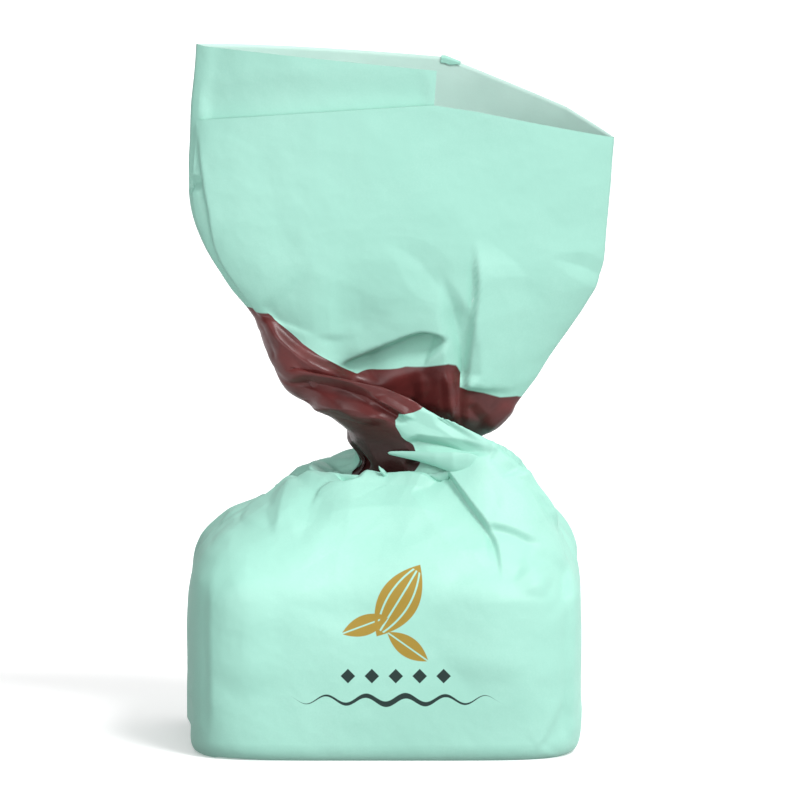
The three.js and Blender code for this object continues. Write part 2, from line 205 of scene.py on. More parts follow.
@dataclass
class PaperForm:
    """The shape that the paper takes, as a surface over (place round the ring, station)."""

    body_width: float = 30.0
    body_depth: float = 28.0
    ring_steps: int = 720
    station_step: float = 0.04
    place_steps: int = 1600
    hollow_half: float = 4.2
    hang_reach: float = 0.6
    strand_edges: tuple[float, float] = (7.0, 4.0)
    flat_end: tuple[float, float] = (11.0, 12.8)
    flat_from: tuple[float, float] = (0.005, 0.04)
    flat_to: tuple[float, float] = (0.2, 0.05)
    stations: np.ndarray = field(init=False)
    lattice: np.ndarray = field(init=False)

    def __post_init__(self) -> None:
        """Works out the fine lattice that every piece of paper is read from."""
        self.stations = np.arange(0.0, LAST_STATION + self.station_step, self.station_step)
        places = np.linspace(0.0, 1.0, self.place_steps + 1)
        lattice = np.stack([self._divided(ring, places) for ring in self._rings(self.stations)])
        self.lattice = self._stretched(lattice, places)

    def _rings(self, stations: np.ndarray) -> np.ndarray:
        """Works out the rings of the smooth form.

        Args:
            stations: the stations of the rings.

        Returns:
            One closed ring of points for each station.
        """
        cx, cy, cz, tilt = (c[:, None] for c in Tables.rows(Tables.CENTRES, stations).T)
        wide, deep, square, box = (c[:, None] for c in Tables.rows(Tables.BOXES, stations).T)
        length, front, back, pinch, hollow = (c[:, None] for c in Tables.rows(Tables.LENSES, stations).T)
        aim, sx, sy, sz, half, roll, rise, pulled = (
            c[:, None] for c in Tables.rows(Tables.STRANDS, stations).T)
        gather, hang = (c[:, None] for c in Tables.rows(Tables.GATHERS, stations).T)
        aim = np.radians(aim)
        angle = np.linspace(0.0, 2 * np.pi, self.ring_steps + 1)[None]
        cos, sin = np.cos(angle), np.sin(angle)
        pushed = np.where(sin > 0, hollow, 0) * np.exp(-((cos * length / self.hollow_half) ** 4))
        across = np.where(sin > 0, front, back) * np.sign(sin) * np.abs(sin) ** pinch * (1 - pushed)
        lens_x = length * cos * np.cos(aim) - across * np.sin(aim)
        lens_y = length * cos * np.sin(aim) + across * np.cos(aim)
        turned = angle + aim
        reach = (np.abs(np.cos(turned) / (wide * self.body_width / 2)) ** square
                 + np.abs(np.sin(turned) / (deep * self.body_depth / 2)) ** square) ** (-1 / square)
        x = box * reach * np.cos(turned) + (1 - box) * lens_x
        y = box * reach * np.sin(turned) + (1 - box) * lens_y
        radius = np.hypot(x, y)
        pleat = np.zeros_like(angle)
        for place, reach_half, height in Tables.PLEATS:
            away = np.abs((angle - place + np.pi) % (2 * np.pi) - np.pi)
            pleat = pleat + height * np.clip(1 - away / reach_half, 0, 1)
        x, y = x * (1 + gather * pleat / radius), y * (1 + gather * pleat / radius)
        z = cz - np.tan(np.radians(tilt)) * x - hang * smooth(self.hang_reach - y / radius)
        x, y = x + cx, y + cy
        away = np.where(angle > np.pi, angle - 2 * np.pi, angle)
        edges = np.where(away > 0, self.strand_edges[0], self.strand_edges[1])
        share = pulled * np.exp(-np.abs(away / half) ** edges)
        x = x + share * (sx - x[:, :1])
        y = y + share * (sy - y[:, :1])
        z = z + share * (sz - z[:, :1] + np.where(away > 0, rise, roll) * away / half)
        return np.stack([x, y, z], axis=2)

    @staticmethod
    def _divided(ring: np.ndarray, places: np.ndarray) -> np.ndarray:
        """Divides a ring evenly.

        Args:
            ring: points round it.
            places: shares of its length.

        Returns:
            The points at those shares.
        """
        steps = np.linalg.norm(np.diff(ring, axis=0), axis=1)
        length = np.concatenate([[0.0], np.cumsum(steps)])
        return np.stack([np.interp(places * length[-1], length, ring[:, k]) for k in range(3)], axis=1)

    def _stretched(self, lattice: np.ndarray, places: np.ndarray) -> np.ndarray:
        """Pulls the paper straight where the strand's end lies flat against the fan.

        Args:
            lattice: points by station and place.
            places: the places of its columns.

        Returns:
            The changed lattice.
        """
        low, high = (int(round(station / self.station_step)) for station in self.flat_end)
        share = np.linspace(0.0, 1.0, high - low + 1)[:, None, None]
        straight = lattice[low] * (1 - share) + lattice[high] * share
        turn = (places + 0.5) % 1.0 - 0.5
        weight = smooth((turn - self.flat_from[0]) / self.flat_from[1])
        weight = weight * smooth((self.flat_to[0] - turn) / self.flat_to[1])
        result = lattice.copy()
        result[low:high + 1] += weight[None, :, None] * (straight - lattice[low:high + 1])
        return result

    def points(self, places: np.ndarray, stations: np.ndarray) -> np.ndarray:
        """Reads the surface.

        Args:
            places: places round the ring, where 0 and 1 are the strand.
            stations: stations of the same shape; below 0 the base closes towards its middle.

        Returns:
            Points in millimetres, with one more axis than the arguments.
        """
        column = (places % 1.0) * self.place_steps
        row = np.clip(stations, 0, LAST_STATION) / self.station_step
        c0 = np.clip(np.floor(column).astype(int), 0, self.place_steps - 1)
        r0 = np.clip(np.floor(row).astype(int), 0, len(self.stations) - 2)
        fc, fr = (column - c0)[..., None], (row - r0)[..., None]
        grid = self.lattice
        low = grid[r0, c0] * (1 - fc) + grid[r0, c0 + 1] * fc
        high = grid[r0 + 1, c0] * (1 - fc) + grid[r0 + 1, c0 + 1] * fc
        point = low * (1 - fr) + high * fr
        shrink = np.clip(1 + stations, 0, 1)[..., None]
        return np.where(stations[..., None] < 0, point * [1, 1, 0] * shrink, point)

    def normals(self, places: np.ndarray, stations: np.ndarray) -> np.ndarray:
        """Works out the outward directions of the smooth surface.

        Args:
            places: places round the ring.
            stations: stations of the same shape.

        Returns:
            A unit vector for each of them.
        """
        aside, ahead = 0.004, 0.05
        along = self.points(places + aside, stations) - self.points(places - aside, stations)
        up = self.points(places, stations + ahead) - self.points(places, np.maximum(stations - ahead, 0.0))
        normal = np.cross(along, up)
        size = np.linalg.norm(normal, axis=-1, keepdims=True)
        normal = normal / np.maximum(size, 1e-9)
        under = (stations[..., None] < 0.02) | (size < 1e-7)
        return np.where(under, np.array([0.0, 0.0, -1.0]), normal)


@dataclass
class Relief:
    """The creases, pleats and crumple pressed into the smooth form of the paper."""

    creases: tuple[Crease, ...]
    pleats: tuple[Pleat, ...]
    seed: int = 7
    span_fade: float = 0.3
    pleat_fade: float = 0.8
    wave_length: float = 9.0
    wave_height: float = 0.09
    crumple_length: float = 4.5
    crumple_height: float = 0.04
    gathered_crumple: float = 0.10
    gathered_at: float = 8.5
    gathered_reach: float = 3.0

    @staticmethod
    def _seen(points: np.ndarray, side: Side) -> tuple[np.ndarray, np.ndarray]:
        """Looks at points from a side.

        Args:
            points: points in millimetres.
            side: the side to look from.

        Returns:
            How far across and how far up each point is seen.
        """
        x, y, z = points[..., 0], points[..., 1], points[..., 2]
        if side is Side.FRONT:
            raised = z * math.cos(CAMERA_ELEVATION) + (y - FRONT_OF_BASE) * math.sin(CAMERA_ELEVATION)
            return x, raised
        if side is Side.BACK:
            return -x, z
        if side is Side.LEFT:
            return -y, z
        if side is Side.RIGHT:
            return y, z
        return x, y

    @staticmethod
    def _facing(normals: np.ndarray, side: Side) -> np.ndarray:
        """Works out how much the paper faces a side.

        Args:
            normals: outward directions of the paper.
            side: the side.

        Returns:
            Shares from 0 to 1.
        """
        axis = {Side.FRONT: (0, -1, 0), Side.BACK: (0, 1, 0), Side.LEFT: (-1, 0, 0),
                Side.RIGHT: (1, 0, 0), Side.UNDER: (0, 0, -1)}[side]
        return smooth((normals @ np.array(axis, float) + 0.05) / 0.3)

    @staticmethod
    def _curved(path: Line, steps: int = 5) -> np.ndarray:
        """Draws a smooth line through the points of a path.

        Args:
            path: the points.
            steps: how many pieces lie between two of them.

        Returns:
            The points of the line.
        """
        knots = np.array(path, float)
        if len(knots) < 3:
            return knots
        ends = np.concatenate([[2 * knots[0] - knots[1]], knots, [2 * knots[-1] - knots[-2]]])
        t = np.linspace(0, 1, steps, endpoint=False)[:, None]
        parts = []
        for a, b, c, d in zip(ends[:-3], ends[1:-2], ends[2:-1], ends[3:]):
            parts.append(0.5 * (2 * b + (c - a) * t + (2 * a - 5 * b + 4 * c - d) * t**2
                                + (3 * b - a - 3 * c + d) * t**3))
        return np.concatenate(parts + [knots[-1:]])

    def _one(self, crease: Crease, across: np.ndarray, up: np.ndarray) -> np.ndarray:
        """Works out the height of one crease.

        Args:
            crease: the crease.
            across: how far across points are seen from its side.
            up: how far up they are seen.

        Returns:
            The height at each point, in millimetres.
        """
        path = self._curved(crease.path)
        best = np.full(across.shape, 1e9)
        where = np.zeros(across.shape)
        signed = np.zeros(across.shape)
        done, total = 0.0, np.linalg.norm(np.diff(path, axis=0), axis=1).sum()
        for (x0, y0), (x1, y1) in zip(path[:-1], path[1:]):
            dx, dy = x1 - x0, y1 - y0
            size = math.hypot(dx, dy)
            share = np.clip(((across - x0) * dx + (up - y0) * dy) / size**2, 0, 1)
            away = np.hypot(across - x0 - share * dx, up - y0 - share * dy)
            turn = dx * (up - y0) - dy * (across - x0)
            nearer = away < best
            best = np.where(nearer, away, best)
            where = np.where(nearer, (done + share * size) / total, where)
            signed = np.where(nearer, np.sign(turn) * away, signed)
            done += size
        ends = smooth(where / crease.fade[0]) * smooth((1 - where) / crease.fade[1])
        sections = []
        for height, reach in (crease.left, crease.right):
            section = np.clip(1 - best / (reach * (0.3 + 0.7 * ends)), 0, 1)
            sections.append(height * (smooth(section) if crease.soft else section))
        on_left = smooth(signed / (crease.edge * 2) + 0.5)
        return (sections[0] * on_left + sections[1] * (1 - on_left)) * ends

    def _add(self, total: np.ndarray, crease: Crease, across: np.ndarray, up: np.ndarray,
             inside: np.ndarray) -> None:
        """Adds one crease to the heights, working only on the points near it.

        Args:
            total: the heights, which are changed.
            crease: the crease.
            across: how far across points are seen from its side.
            up: how far up they are seen.
            inside: the share of the crease that each point takes.
        """
        path = self._curved(crease.path)
        reach = max(crease.left[1], crease.right[1])
        low, high = path.min(axis=0) - reach, path.max(axis=0) + reach
        near = (inside > 0) & (across > low[0]) & (across < high[0]) & (up > low[1]) & (up < high[1])
        if near.any():
            total[near] += self._one(crease, across[near], up[near]) * inside[near]

    def _waves(self, points: np.ndarray, length: float, phase: int) -> np.ndarray:
        """Makes smooth uneven waves.

        Args:
            points: points in millimetres.
            length: about how long the waves are, in millimetres.
            phase: a number that sets these waves apart from others.

        Returns:
            Heights from about -1 to 1.
        """
        rng = np.random.default_rng(self.seed + phase)
        total = np.zeros(points.shape[:-1])
        for _ in range(7):
            direction = rng.normal(size=3)
            direction /= np.linalg.norm(direction)
            rate = 2 * np.pi / (length * rng.uniform(0.7, 1.5))
            total += np.sin(points @ direction * rate + rng.uniform(0, 2 * np.pi))
        return total / 4.0

    def height(self, points: np.ndarray, normals: np.ndarray, places: np.ndarray,
               stations: np.ndarray) -> np.ndarray:
        """Works out how far the paper stands out of the smooth form.

        Args:
            points: points of the smooth form, in millimetres.
            normals: its outward directions.
            places: the place round the ring of each point.
            stations: the station of each point.

        Returns:
            Height along the outward direction, in millimetres.
        """
        total = np.zeros(points.shape[:-1])
        seen = {side: self._seen(points, side) for side in Side}
        facing = {side: self._facing(normals, side) for side in Side}
        for crease in self.creases:
            inside = facing[crease.side]
            inside = inside * smooth((stations - crease.span[0]) / self.span_fade + 1)
            inside = inside * smooth((crease.span[1] - stations) / self.span_fade + 1)
            inside = inside * (places >= crease.places[0]) * (places <= crease.places[1])
            self._add(total, crease, *seen[crease.side], inside)
        for pleat in self.pleats:
            away = places - pleat.place - pleat.drift * (stations - 9.0)
            away = np.abs((away + 0.5) % 1.0 - 0.5)
            low, high = pleat.span
            along = smooth((stations - low) / self.pleat_fade) * smooth((high - stations) / self.pleat_fade)
            total += pleat.height * np.clip(1 - away / pleat.half, 0, 1) * along
        above = smooth(stations / 1.5)
        gathered = np.exp(-(((stations - self.gathered_at) / self.gathered_reach) ** 2))
        total += above * self.wave_height * self._waves(points, self.wave_length, 1)
        sharp = 1 - np.abs(self._waves(points, self.crumple_length, 2))
        total += above * (self.crumple_height + self.gathered_crumple * gathered) * (sharp - 0.5)
        return total


FAN = (FAN_ROOT, LAST_STATION)
FAN_AND_BAND = (11.8, LAST_STATION)
BODY = (0.5, 7.4)
NECK = (7.5, FAN_ROOT)
BAND_BACK = (11.4, 12.95)
INNER = (OVERLAP + 0.0001, 2.0)


def ridge(path: Line, height: float, reach: float, **more: object) -> Crease:
    """Makes a fold with the same slope on both sides; a minus height is a valley.

    Args:
        path: its line.
        height: its height, in millimetres.
        reach: how far it reaches on each side, in millimetres.
        **more: other fields of the crease.

    Returns:
        The crease.
    """
    return Crease(path, (height, reach), (height, reach), **more)


# The long pleat in the fan: its raised right side, and the valley left of it.
LONG_PLEAT = (
    Crease(((6.78, 39.73), (6.93, 35.62), (6.47, 31.43), (6.17, 27.85)), (0.65, 4.0), (-0.2, 0.6),
           span=FAN_AND_BAND, fade=(0.3, 0.05)),
    ridge(((4.26, 37.14), (5.18, 34.25), (5.86, 31.43), (6.09, 28.31)), -0.75, 1.3, span=FAN_AND_BAND,
          fade=(0.5, 0.1)),
)
# A faint diagonal bend, and the tuck over the band.
BAND_TUCK = (
    ridge(((-0.61, 39.43), (2.28, 38.06), (5.18, 34.55)), -0.22, 1.8, span=FAN, fade=(0.6, 0.3), edge=0.4),
    Crease(((-3.65, 29.68), (-1.68, 30.44), (0.46, 31.36), (2.89, 32.19), (5.1, 31.58)), (0.25, 3.0),
           (-1.6, 2.8), span=(12.1, 18.0), soft=True, fade=(0.25, 0.2), edge=0.4),
)
# The strand's flat left end, which stands proud of the fan.
STRAND_END = (
    Crease(((-9.29, 34.86), (-7.77, 32.35), (-5.71, 30.59), (-3.73, 29.53), (-1.52, 28.31)), (0.0, 0.7),
           (0.9, 2.6), span=(11.0, 13.3), places=(0.0, 0.24), fade=(0.3, 0.3), edge=0.5),
)
# Creases at the fan's sides.
FAN_SIDES = (
    ridge(((12.49, 38.06), (15.08, 37.37), (16.9, 36.53)), -0.18, 1.1, span=FAN, fade=(0.6, 0.05)),
    ridge(((8.83, 36.38), (9.67, 33.34), (10.05, 28.77)), 0.15, 3.0, span=FAN, fade=(0.4, 0.3), edge=0.4),
    Crease(((-14.09, 48.41), (-13.71, 43.99), (-13.32, 41.86), (-12.56, 38.66), (-10.81, 35.77),
           (-8.98, 33.18)), (0.35, 5.0), (-0.2, 0.5), span=FAN, fade=(0.2, 0.1)),
    ridge(((-15.23, 43.39), (-13.48, 44.07)), -0.45, 0.7, span=FAN, fade=(0.05, 0.5)),
    ridge(((-6.4, 31.05), (-7.61, 36.38), (-7.16, 41.71)), -0.15, 3.0, span=FAN, soft=True,
          fade=(0.1, 0.6)),
    ridge(((-4.11, 31.43), (-4.11, 35.62), (-2.97, 40.57)), 0.15, 2.5, span=FAN, fade=(0.1, 0.7),
          edge=0.4),
    ridge(((-14.16, 49.63), (-6.4, 50.16), (3.65, 50.39)), -0.22, 2.2, span=FAN, places=INNER, soft=True,
          fade=(0.05, 0.05)),
)
# The front lip of the body's top and the bend under it.
FRONT_LIP = (
    ridge(((-7.01, 22.07), (-4.87, 21.23), (-2.82, 20.77), (-0.38, 21.91), (0.91, 21.99), (4.26, 21.91)),
          0.5, 1.2, span=BODY, fade=(0.15, 0.1)),
    ridge(((-5.03, 18.56), (-0.3, 19.1), (4.72, 18.79)), 0.25, 1.8, span=BODY, fade=(0.3, 0.3)),
)
# The shoulder fold on the right, its branch and the dent that they enclose.
SHOULDER_FOLD = (
    Crease(((4.11, 22.83), (5.18, 21.3), (6.4, 19.63), (7.77, 17.8), (8.53, 16.2), (8.83, 13.23)),
           (0.15, 7.5), (-0.75, 3.2), span=BODY, fade=(0.1, 0.55), edge=0.14),
    Crease(((7.61, 17.88), (9.75, 17.35), (12.03, 16.28)), (0.1, 2.6), (-0.4, 2.6), span=BODY,
           fade=(0.2, 0.3), edge=0.25),
    Crease(((10.81, 16.96), (13.17, 14.98), (14.01, 13.23), (13.4, 11.56), (12.03, 10.34)), (0.1, 1.8),
           (-0.3, 2.4), span=BODY, fade=(0.3, 0.4), edge=0.5),
    ridge(((10.58, 15.37), (12.26, 12.32)), 0.4, 1.8, span=BODY, soft=True, fade=(0.4, 0.4)),
    Crease(((10.51, 21.15), (12.26, 19.55), (13.02, 18.41), (13.93, 16.74)), (0.3, 1.2), (-0.3, 0.7),
           span=BODY, fade=(0.5, 0.2)),
    ridge(((8.22, 21.91), (10.36, 19.78), (12.79, 16.89)), 0.3, 1.8, span=BODY, fade=(0.4, 0.5)),
    ridge(((8.38, 24.5), (9.9, 23.28), (10.96, 21.61)), -0.6, 2.2, span=(4.0, 9.4), soft=True),
)
# The folds on the left of the front.
LEFT_FOLDS = (
    ridge(((-2.06, 22.83), (-2.59, 21.76), (-2.89, 20.7)), -0.9, 1.3, span=BODY, soft=True,
          fade=(0.1, 0.4)),
    Crease(((-2.59, 21.0), (-3.96, 20.85), (-5.1, 20.24), (-5.86, 18.56)), (-0.1, 0.5), (-0.45, 1.8),
           span=BODY, fade=(0.1, 0.6)),
    Crease(((-6.7, 21.61), (-7.54, 19.63), (-8.22, 16.74)), (0.4, 2.6), (0.4, 1.1), span=BODY,
           fade=(0.2, 0.4)),
    ridge(((-5.03, 20.39), (-5.79, 18.11), (-6.4, 16.2)), -0.2, 1.6, span=BODY, fade=(0.2, 0.6), edge=0.4),
    Crease(((-9.29, 20.54), (-10.51, 19.02), (-11.19, 17.8)), (0.2, 2.2), (-0.3, 0.7), span=BODY,
           fade=(0.3, 0.3)),
    Crease(((-11.27, 19.48), (-12.41, 17.95), (-13.17, 15.82)), (0.25, 1.6), (-0.2, 0.8), span=BODY,
           fade=(0.3, 0.4)),
)
# Soft waves and edges of the front.
FRONT_WAVES = (
    ridge(((-4.11, 18.11), (-2.44, 15.06), (-2.89, 8.97)), -0.2, 5.0, span=BODY, soft=True),
    ridge(((-11.27, 15.06), (-10.2, 10.49), (-10.66, 4.4)), 0.25, 3.0, span=BODY, soft=True),
    ridge(((6.55, 15.06), (7.77, 10.49), (7.31, 5.16)), 0.25, 4.0, span=BODY, soft=True),
    Crease(((-13.1, 15.06), (-13.32, 8.97), (-13.17, 1.74)), (0.12, 2.5), (-0.12, 1.6), span=BODY,
           fade=(0.3, 0.2), edge=0.5),
    Crease(((13.86, 16.13), (14.01, 8.97), (13.93, 1.2)), (0.25, 1.5), (-0.15, 0.8), span=BODY,
           fade=(0.2, 0.1)),
    Crease(((13.86, 5.16), (12.79, 2.73), (11.73, 0.9)), (-0.2, 1.8), (0.05, 1.8), span=(0.4, 2.6),
           fade=(0.4, 0.1), edge=0.4),
)
# Folds on the strand and on the band behind it.
STRAND_FOLDS = (
    ridge(((-7.77, 28.39), (-5.56, 28.23), (-3.35, 27.78), (-1.98, 27.17), (0.0, 26.18)), -0.6, 1.0,
          span=NECK),
    ridge(((-6.4, 26.56), (-3.35, 26.79), (0.61, 25.64)), 0.4, 0.9, span=NECK),
    ridge(((-0.91, 27.55), (0.61, 26.86), (2.44, 25.72)), 0.35, 0.5, span=NECK),
    ridge(((-1.37, 27.24), (0.15, 26.41), (1.83, 25.42)), -0.35, 0.5, span=NECK),
    ridge(((-9.29, 33.34), (-8.38, 31.74), (-8.07, 30.14)), -0.2, 0.5, span=NECK),
    ridge(((4.95, 29.83), (5.03, 27.85), (5.18, 25.72)), 0.3, 0.6, span=BAND_BACK),
    ridge(((5.63, 29.53), (5.71, 27.85), (5.94, 25.11)), -0.3, 0.6, span=BAND_BACK),
    ridge(((2.82, 29.53), (2.97, 27.09)), 0.2, 0.7, span=BAND_BACK, fade=(0.4, 0.4)),
    ridge(((6.24, 26.94), (7.01, 26.03), (7.84, 25.11)), -0.22, 0.7, span=(11.2, 12.95)),
    ridge(((7.31, 24.5), (8.68, 25.72), (9.97, 27.09)), 0.25, 0.8, span=(11.2, 12.95)),
)
# The foot of the neck, pressed in on the left.
NECK_FOOT = (
    ridge(((-3.5, 21.3), (0.0, 21.3), (3.5, 21.3)), -1.2, 1.8, side=Side.LEFT, span=(6.8, 10.2),
          soft=True),
)
# The strand's mint end on the shoulder, and the dark gap under the neck's tongue.
STRAND_FOOT = (
    ridge(((1.52, 22.37), (3.12, 22.22), (4.72, 22.07)), -0.8, 0.8, span=(5.5, 9.4), fade=(0.2, 0.2)),
    ridge(((3.65, 26.33), (5.25, 25.11), (7.46, 23.89)), -0.3, 0.6, span=(5.5, 9.4), fade=(0.2, 0.5)),
    ridge(((7.77, 24.05), (9.44, 22.83), (11.88, 20.39)), 0.35, 0.8, span=(4.0, 9.0), fade=(0.2, 0.5)),
    ridge(((1.52, 24.05), (4.26, 23.66), (8.68, 23.28)), -0.6, 0.8, span=(5.5, 9.4), fade=(0.15, 0.4)),
)
# Layers of paper folded under the base, as they show at the sides.
SIDE_LAYERS = (
    Crease(((-13.5, 2.2), (0.0, 2.05), (11.0, 2.3)), (0.0, 6.0), (-0.4, 4.0), side=Side.LEFT,
           span=(0.3, 6.0), fade=(0.02, 0.3)),
    Crease(((-13.8, 0.4), (-6.0, 7.4), (0.5, 13.0)), (0.0, 5.0), (-0.35, 2.5), side=Side.LEFT, span=BODY),
    Crease(((10.5, 3.0), (7.0, 6.4), (1.5, 12.0)), (-0.3, 2.5), (0.0, 5.0), side=Side.LEFT, span=BODY),
    Crease(((-10.5, 3.0), (-7.0, 6.2), (-1.0, 12.6)), (0.0, 5.0), (-0.3, 2.5), side=Side.RIGHT, span=BODY),
    Crease(((13.8, 0.4), (6.0, 7.0), (0.5, 12.0)), (-0.35, 2.5), (0.0, 5.0), side=Side.RIGHT, span=BODY),
)
# The hollow of the left shoulder, where the paper sinks beside the sweet's top edge.
SHOULDER_HOLLOW = (
    ridge(((-7.5, 18.0), (-3.3, 19.4), (1.0, 19.9)), -0.8, 2.6, side=Side.LEFT, span=(4.0, 7.4),
          soft=True),
)
# The back: the sheet's edge down the middle, and a few soft folds.
BACK_FOLDS = (
    Crease(((1.6, 21.0), (1.2, 12.0), (1.5, 0.3)), (0.0, 9.0), (-0.3, 4.0), side=Side.BACK, span=BODY,
           fade=(0.1, 0.02)),
    Crease(((-9.5, 20.0), (-6.0, 14.0), (-4.5, 7.0)), (0.25, 3.0), (-0.5, 1.2), side=Side.BACK, span=BODY,
           fade=(0.1, 0.6)),
    Crease(((9.0, 20.0), (7.0, 15.0), (7.5, 9.0)), (-0.5, 1.2), (0.25, 3.0), side=Side.BACK, span=BODY,
           fade=(0.1, 0.6)),
    Crease(((-6.5, 28.0), (-3.5, 34.0), (-2.5, 42.0)), (0.3, 4.0), (-0.5, 1.2), side=Side.BACK, span=FAN,
           fade=(0.05, 0.6)),
    Crease(((5.0, 30.0), (4.0, 36.0), (6.0, 43.0)), (-0.5, 1.2), (0.3, 4.0), side=Side.BACK, span=FAN,
           fade=(0.05, 0.6)),
    ridge(((-0.5, 27.5), (0.5, 33.0), (0.0, 38.0)), -0.45, 1.4, side=Side.BACK, span=FAN,
          fade=(0.05, 0.6)),
)
# Flaps folded flat under the base.
BASE_FLAPS = (
    Crease(((-14.0, -13.0), (-5.0, -3.5), (-1.0, 0.3)), (0.0, 7.0), (-0.15, 4.0), side=Side.UNDER,
           span=(-1.0, 0.0), fade=(0.02, 0.05)),
)
CREASES = (LONG_PLEAT + BAND_TUCK + STRAND_END + FAN_SIDES + FRONT_LIP + SHOULDER_FOLD + LEFT_FOLDS +
           FRONT_WAVES + STRAND_FOLDS + NECK_FOOT + STRAND_FOOT + SIDE_LAYERS + SHOULDER_HOLLOW +
           BACK_FOLDS + BASE_FLAPS)

PLEATS = (
    Pleat(0.055, 0.014, -0.35, (3.4, 9.5)), Pleat(0.10, 0.012, 0.45, (3.2, 10.6), 0.002),
    Pleat(0.135, 0.010, -0.35, (4.2, 10.6)), Pleat(0.18, 0.014, 0.5, (3.0, 10.8), -0.002),
    Pleat(0.225, 0.010, -0.4, (3.6, 11.0)), Pleat(0.27, 0.013, 0.45, (3.4, 12.0), 0.003),
    Pleat(0.315, 0.012, -0.4, (3.0, 12.2)), Pleat(0.36, 0.014, 0.5, (3.8, 11.8), -0.002),
    Pleat(0.405, 0.010, 0.4, (3.2, 11.2)), Pleat(0.44, 0.012, -0.35, (4.0, 10.8), 0.002),
    Pleat(0.485, 0.013, 0.5, (3.0, 10.8)), Pleat(0.53, 0.012, -0.4, (3.4, 11.4), -0.002),
    Pleat(0.575, 0.013, 0.3, (3.0, 13.2)), Pleat(0.62, 0.010, -0.2, (3.6, 12.4)),
    Pleat(0.655, 0.012, 0.15, (3.2, 9.0)), Pleat(0.70, 0.012, -0.15, (6.8, 9.4)),
    Pleat(0.745, 0.014, 0.15, (7.2, 9.6)), Pleat(0.79, 0.012, -0.12, (7.0, 9.6)),
    Pleat(0.60, 0.018, 0.3, (11.5, 14.6)), Pleat(0.67, 0.016, -0.3, (11.4, 14.8)),
    Pleat(0.74, 0.018, 0.35, (11.4, 15.2), 0.003), Pleat(0.81, 0.016, -0.35, (11.4, 14.4)),
    Pleat(0.88, 0.016, 0.35, (11.6, 14.8), -0.003), Pleat(0.93, 0.014, -0.3, (11.6, 14.2)),
)


